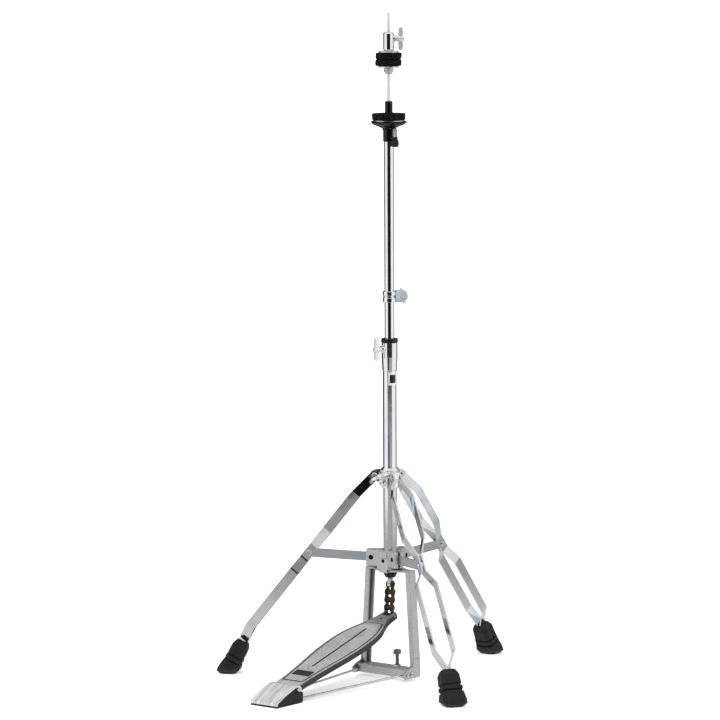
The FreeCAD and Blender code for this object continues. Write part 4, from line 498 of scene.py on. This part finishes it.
def dress_cad():
    """Gives every CAD node its finish."""
    wear(chrome("tube_chrome"), "lower_tube", "upper_tube")
    wear(
        chrome("cast_chrome", 0.86, 0.06, 0.12),
        "tube_socket", "leg_collar", "clutch_body", "rod_yoke",
    )
    wear(
        wing_plate("wing_chrome"),
        "height_wing_screw", "memory_wing_screw", "collar_wing_screw", "clutch_wing_screw",
    )
    wear(lock_plate("lock_chrome"), "memory_lock")
    wear(
        strip_chrome("strip_chrome"),
        "leg_back", "leg_left", "leg_right", "stay_back", "stay_left", "stay_right",
    )
    wear(cast("frame_satin", 0.50, 0.34), "pedal_frame")
    wear(cast("bridge_satin", 0.50, 0.32), "base_bridge")
    wear(cast("hub_satin", 0.50, 0.30), "hub_casting")
    wear(board_metal("board_satin"), "footboard")
    wear(heel_metal("heel_satin"), "heel_plate")
    wear(bright_rod("rod_steel"), "upper_rod", "lower_rod")
    wear(
        wing_plate("pale_steel", 0.66, 0.10),
        "clutch_washers", "clutch_nut", "clutch_tube", "tilt_spring",
    )
    wear(
        plain_steel("bright_steel", 0.74),
        "rod_coupler", "collar_pins", "rivets_back", "rivets_left", "rivets_right", "frame_screws",
        "anchor_nut", "heel_pin", "radius_rods", "seat_washer", "tilt_screw", "toe_pin",
    )
    wear(threaded("bolt_steel"), "anchor_bolt")
    wear(plain_steel("spring_steel", 0.62, 0.16), "return_spring")
    wear(chain_steel("chain_steel"), "chain_plates", "chain_rollers", "chain_pins")
    wear(plain_steel("black_oxide", 0.02, 0.40), "hub_screws", "hub_pins")
    wear(black_plastic("black_nylon", 0.004, 0.32), "socket_bush", "hub_plug")
    wear(black_plastic("gloss_black", 0.002, 0.10, 0.004, 0.32), "seat_sleeve", "seat_cup", "seat_stem")
    wear(black_plastic("knob_black", 0.008, 0.36), "tilt_knob")
    wear(rubber("foot_rubber"), "foot_back", "foot_left", "foot_right")
    wear(rubber("heel_rubber", 0.012, 0.03), "heel_block")


# ---- pieces made here ----

# Steps that spread points evenly without a pattern: the golden ratio's, and its partner for a second axis.
GOLDEN_STEP = 0.6180339887
SECOND_STEP = 0.7548776662


def new_piece(name, made):
    """An object made from a bmesh, which is freed."""
    mesh = bpy.data.meshes.new(name)
    made.to_mesh(mesh)
    made.free()
    piece = bpy.data.objects.new(name, mesh)
    bpy.context.scene.collection.objects.link(piece)
    return piece


def bore_radius(name):
    """The radius of a ring's hole: its nearest corner to the stand's axis."""
    return min(math.hypot(v.co.x, v.co.y) for v in NODES[name].data.vertices)


def felt_profile(inner, outer, low, high, crown, soft):
    """Points round a felt ring's section: up its bore, over its top, down its crowned rim and back."""
    points = []
    rows = 10
    for k in range(rows):
        points.append((inner, low + (high - low) * k / rows))
    for k in range(14):
        points.append((inner + (outer - soft - inner) * k / 14, high))
    for k in range(8):
        turn = math.pi / 2 * k / 8
        points.append((outer - soft + soft * math.sin(turn), high - soft + soft * math.cos(turn)))
    for k in range(12):
        share = k / 12
        bulge = crown * math.sin(math.pi * share)
        points.append((outer + bulge, high - soft - (high - low - 2 * soft) * share))
    for k in range(8):
        turn = math.pi / 2 * k / 8
        points.append((outer - soft + soft * math.cos(turn), low + soft - soft * math.sin(turn)))
    for k in range(14):
        points.append((outer - soft - (outer - soft - inner) * k / 14, low))
    return points


def roughened(radius, high, angle, low, top, inner, outer, ragged):
    """A felt point moved by the cut's slow waviness and the wool's lumps, never past its neighbours."""
    here = Vector((radius * math.cos(angle), radius * math.sin(angle), high))
    rim = max(0.0, (radius - inner) / (outer - inner))
    slow = noise.noise(here * 90) * ragged * rim ** 3
    lumps = noise.noise(here * 420) * 0.35 * MM * rim ** 2
    fine = noise.noise(here * 1400) * 0.16 * MM * rim
    sag = abs(noise.noise(here * 140)) * 0.7 * ragged * rim ** 4
    middle = (low + top) / 2
    high += sag if high < middle - 0.3 * (top - low) else 0
    high -= sag if high > middle + 0.3 * (top - low) else 0
    radius += slow + lumps + fine
    return Vector((radius * math.cos(angle), radius * math.sin(angle), high))


def fibres(made, count, outer, low, high):
    """Short stray hairs standing off a felt's rim."""
    half_width = 0.035 * MM
    for k in range(count):
        spread = (k * GOLDEN_STEP) % 1.0
        angle = 2 * math.pi * spread
        share = (k * SECOND_STEP + 0.37) % 1.0
        root = Vector((outer * math.cos(angle), outer * math.sin(angle), low + (high - low) * share))
        lean = noise.noise_vector(root * 3000) * 1.2
        out = (Vector((math.cos(angle), math.sin(angle), 0)) * 0.7 + lean).normalized()
        bend = noise.noise_vector(root * 5000 + Vector((7, 3, 1)))
        length = (0.5 + 0.6 * abs(bend.x)) * MM
        side = out.cross(UP).normalized() * half_width
        root -= out * 0.3 * MM
        mid = root + out * length * 0.6 + bend * 0.15 * MM
        tip = mid + (out + bend * 0.9).normalized() * length * 0.5
        a = made.verts.new(root - side)
        b = made.verts.new(root + side)
        c = made.verts.new(mid + side * 0.7)
        d = made.verts.new(mid - side * 0.7)
        e = made.verts.new(tip)
        made.faces.new((a, b, c, d))
        made.faces.new((d, c, e))


def felt_ring(name, node, body, wool, crown=0.5 * MM, ragged=1.3 * MM, soft=1.2 * MM):
    """A pressed felt washer that stands for a CAD one: crowned rim, wavy cut edge, stray hairs."""
    hairs = 900
    low_corner, high_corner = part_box(node)
    low, high = low_corner.z, high_corner.z
    outer = (high_corner.x - low_corner.x) / 2 - crown - 0.2 * MM
    inner = bore_radius(node)
    profile = felt_profile(inner, outer, low, high, crown, soft)
    around = 180
    made = bmesh.new()
    rings = []
    for k in range(around):
        angle = 2 * math.pi * k / around
        ring = [
            made.verts.new(roughened(radius, level, angle, low, high, inner, outer, ragged))
            for radius, level in profile
        ]
        rings.append(ring)
    for k, ring in enumerate(rings):
        after = rings[(k + 1) % around]
        for j in range(len(ring)):
            up = (j + 1) % len(ring)
            made.faces.new((ring[j], after[j], after[up], ring[up]))
    bmesh.ops.recalc_face_normals(made, faces=made.faces)
    fibres(made, hairs, outer + crown * 0.5, low + 1.0 * MM, high - 1.0 * MM)
    piece = new_piece(name, made)
    piece.data.shade_smooth()
    piece.data.materials.append(wool)
    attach(piece, body)
    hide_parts(node)


def tube_label():
    """A small plain foil sticker wrapped on the lower tube, just below the socket."""
    socket_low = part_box("tube_socket")[0].z
    tube_low, tube_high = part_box("lower_tube")
    foil, gap_above, label_height = 0.06 * MM, 1.5 * MM, 21 * MM
    radius = (tube_high.x - tube_low.x) / 2 + 0.08 * MM
    top = socket_low - gap_above
    low = top - label_height
    start, end = label_arc()
    steps = 24
    made = bmesh.new()
    columns = []
    for k in range(steps + 1):
        angle = start + (end - start) * k / steps
        edge = Vector((math.cos(angle), math.sin(angle), 0))
        outer = edge * radius
        inner = edge * (radius - foil)
        column = [outer + UP * low, outer + UP * top, inner + UP * top, inner + UP * low]
        columns.append([made.verts.new(p) for p in column])
    for first, second in zip(columns, columns[1:]):
        for j in range(4):
            up = (j + 1) % 4
            made.faces.new((first[j], second[j], second[up], first[up]))
    made.faces.new(columns[0])
    made.faces.new(list(reversed(columns[-1])))
    bmesh.ops.recalc_face_normals(made, faces=made.faces)
    piece = new_piece("tube_label", made)
    piece.data.materials.append(sticker("label_foil", (low, top)))
    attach(piece, "base")


def dress_soft():
    """The felts, and the sticker."""
    wool = felt_wool("black_felt")
    crisp = {"crown": 0.1 * MM, "ragged": 0.5 * MM, "soft": 0.6 * MM}
    felt_ring("seat_felt_pressed", "seat_felt", "seat", wool, **crisp)
    felt_ring("clutch_felt_upper_pressed", "clutch_felt_upper", "clutch", wool)
    felt_ring("clutch_felt_lower_pressed", "clutch_felt_lower", "clutch", wool)
    tube_label()


# ---- studio ----

def studio_walls(t, forward, sideways, front):
    """How bright the studio looks each way round: white sides, dark behind, `front` by the camera."""
    turn = t.math("ARCTAN2", sideways, forward)
    part = t.math("MULTIPLY_ADD", turn, 0.5 / math.pi, 0.5)
    left = [(0.0, 0.05), (0.19, 0.05), (0.235, 1.0)]
    right = [(0.79, 1.0), (0.83, 0.30), (1.0, 0.20)]
    sides = t.ramp(part, left + right)
    ahead = t.ramp(part, [(0.386, 0.0), (0.406, 1.0), (0.594, 1.0), (0.614, 0.0)])
    return t.blend(ahead, sides, front)


def studio_world():
    """White all round, with a dark gap round the camera and darker paper behind the stand for the metal."""
    world = bpy.data.worlds.new("studio")
    bpy.context.scene.world = world
    world.use_nodes = True
    world.node_tree.nodes.clear()
    t = Tree(world.node_tree)
    way = t.add("TexCoord").outputs["Generated"]
    walls = studio_walls(t, t.dot(way, TOWARDS_CAMERA), t.dot(way, CAMERA_RIGHT), grey(0.008))
    above = t.remap(t.dot(way, UP), 0.45, 0.75)
    shine = t.blend(above, walls, grey(0.9))
    ray = t.add("LightPath")
    plain = t.blend(ray.outputs["Is Camera Ray"], grey(0.85), grey(0.98))
    seen = t.blend(ray.outputs["Is Glossy Ray"], plain, shine)
    back = t.add("Background", {"Color": seen, "Strength": 1.0})
    t.add("OutputWorld", {"Surface": back.outputs[0]})


def floor_shine(t, place):
    """What metal sees in the floor: pale paper round the stand, the walls beyond, and a black flag."""
    far = t.add("VectorMath", {0: place}, operation="LENGTH").outputs["Value"]
    near = t.remap(far, 0.35, 1.2, 0.80, 0.42)
    front = t.remap(far, 2.4, 4.6, 0.40, 0.010)
    walls = studio_walls(t, t.dot(place, TOWARDS_CAMERA), t.dot(place, CAMERA_RIGHT), front)
    paper = t.blend(t.remap(far, 1.3, 2.1), near, walls)
    swing = math.radians(17)
    flag_distance, flag_inside, flag_outside = 2.55, 0.36, 0.44
    ahead = TOWARDS_CAMERA * math.cos(swing) - CAMERA_RIGHT * math.sin(swing)
    beside = CAMERA_RIGHT * math.cos(swing) + TOWARDS_CAMERA * math.sin(swing)
    depth = t.math("ABSOLUTE", t.math("SUBTRACT", t.dot(place, ahead), flag_distance))
    width = t.math("ABSOLUTE", t.dot(place, beside))
    deep = t.remap(depth, flag_inside, flag_outside, 1.0, 0.0)
    wide = t.remap(width, flag_inside, flag_outside, 1.0, 0.0)
    return t.blend(t.math("MULTIPLY", deep, wide), paper, grey(0.010))


def floor():
    """A pale floor, which isn't there from below."""
    size = 60.0
    corners = [(-size, -size, 0), (size, -size, 0), (size, size, 0), (-size, size, 0)]
    mesh = bpy.data.meshes.new("studio_floor")
    mesh.from_pydata(corners, [], [(0, 1, 2, 3)])
    plane = bpy.data.objects.new("studio_floor", mesh)
    plane.location.z = -0.3 * MM
    bpy.context.scene.collection.objects.link(plane)
    material = bpy.data.materials.new("pale_floor")
    material.use_nodes = True
    t = Tree(material.node_tree)
    t.tree.nodes.clear()
    place = t.add("TexCoord").outputs["Object"]
    paper = t.blend(t.noise(place, 40, 4), grey(0.90), grey(0.93))
    diffuse = t.add("BsdfDiffuse", {"Color": paper}).outputs[0]
    glow = t.add("Emission", {"Color": grey(1.0), "Strength": 0.40}).outputs[0]
    bright = t.add("AddShader", {0: diffuse, 1: glow}).outputs[0]
    shine = t.add("Emission", {"Color": floor_shine(t, place), "Strength": 1.0}).outputs[0]
    ray = t.add("LightPath").outputs["Is Glossy Ray"]
    above = t.add("MixShader", {0: ray, 1: bright, 2: shine}).outputs[0]
    clear = t.add("BsdfTransparent").outputs[0]
    below = t.add("NewGeometry").outputs["Backfacing"]
    surface = t.add("MixShader", {0: below, 1: above, 2: clear}).outputs[0]
    t.add("OutputMaterial", {"Surface": surface})
    mesh.materials.append(material)


def key_light():
    """A broad soft light from above and before the stand. Metal doesn't mirror it."""
    light = bpy.data.lights.new("key", "SUN")
    light.energy = 1.25
    light.angle = math.radians(30)
    lamp = bpy.data.objects.new("key", light)
    bpy.context.scene.collection.objects.link(lamp)
    source = UP * 1.0 + TOWARDS_CAMERA * 1.0 - CAMERA_RIGHT * 0.25
    lamp.rotation_mode = "QUATERNION"
    lamp.rotation_quaternion = source.to_track_quat("Z", "Y")
    lamp.visible_glossy = False


def camera():
    """The camera, a long way off with a long lens."""
    data = bpy.data.cameras.new("camera")
    data.lens = CAMERA_LENS
    data.clip_end = 200
    eye = bpy.data.objects.new("camera", data)
    bpy.context.scene.collection.objects.link(eye)
    bpy.context.scene.camera = eye
    back = TOWARDS_CAMERA * math.cos(CAMERA_ELEVATION) + UP * math.sin(CAMERA_ELEVATION)
    aim = UP * AIM_HEIGHT
    eye.location = aim + back * CAMERA_DISTANCE
    look = aim + CAMERA_RIGHT * AIM_SIDE - eye.location
    eye.rotation_mode = "QUATERNION"
    roll = Matrix.Rotation(CAMERA_ROLL, 4, look.normalized())
    eye.rotation_quaternion = roll.to_quaternion() @ look.to_track_quat("-Z", "Y")


def studio():
    """Floor, light, world and camera."""
    studio_world()
    floor()
    key_light()
    camera()
    bpy.context.scene.view_settings.view_transform = "Standard"


dress_cad()
dress_soft()
studio()
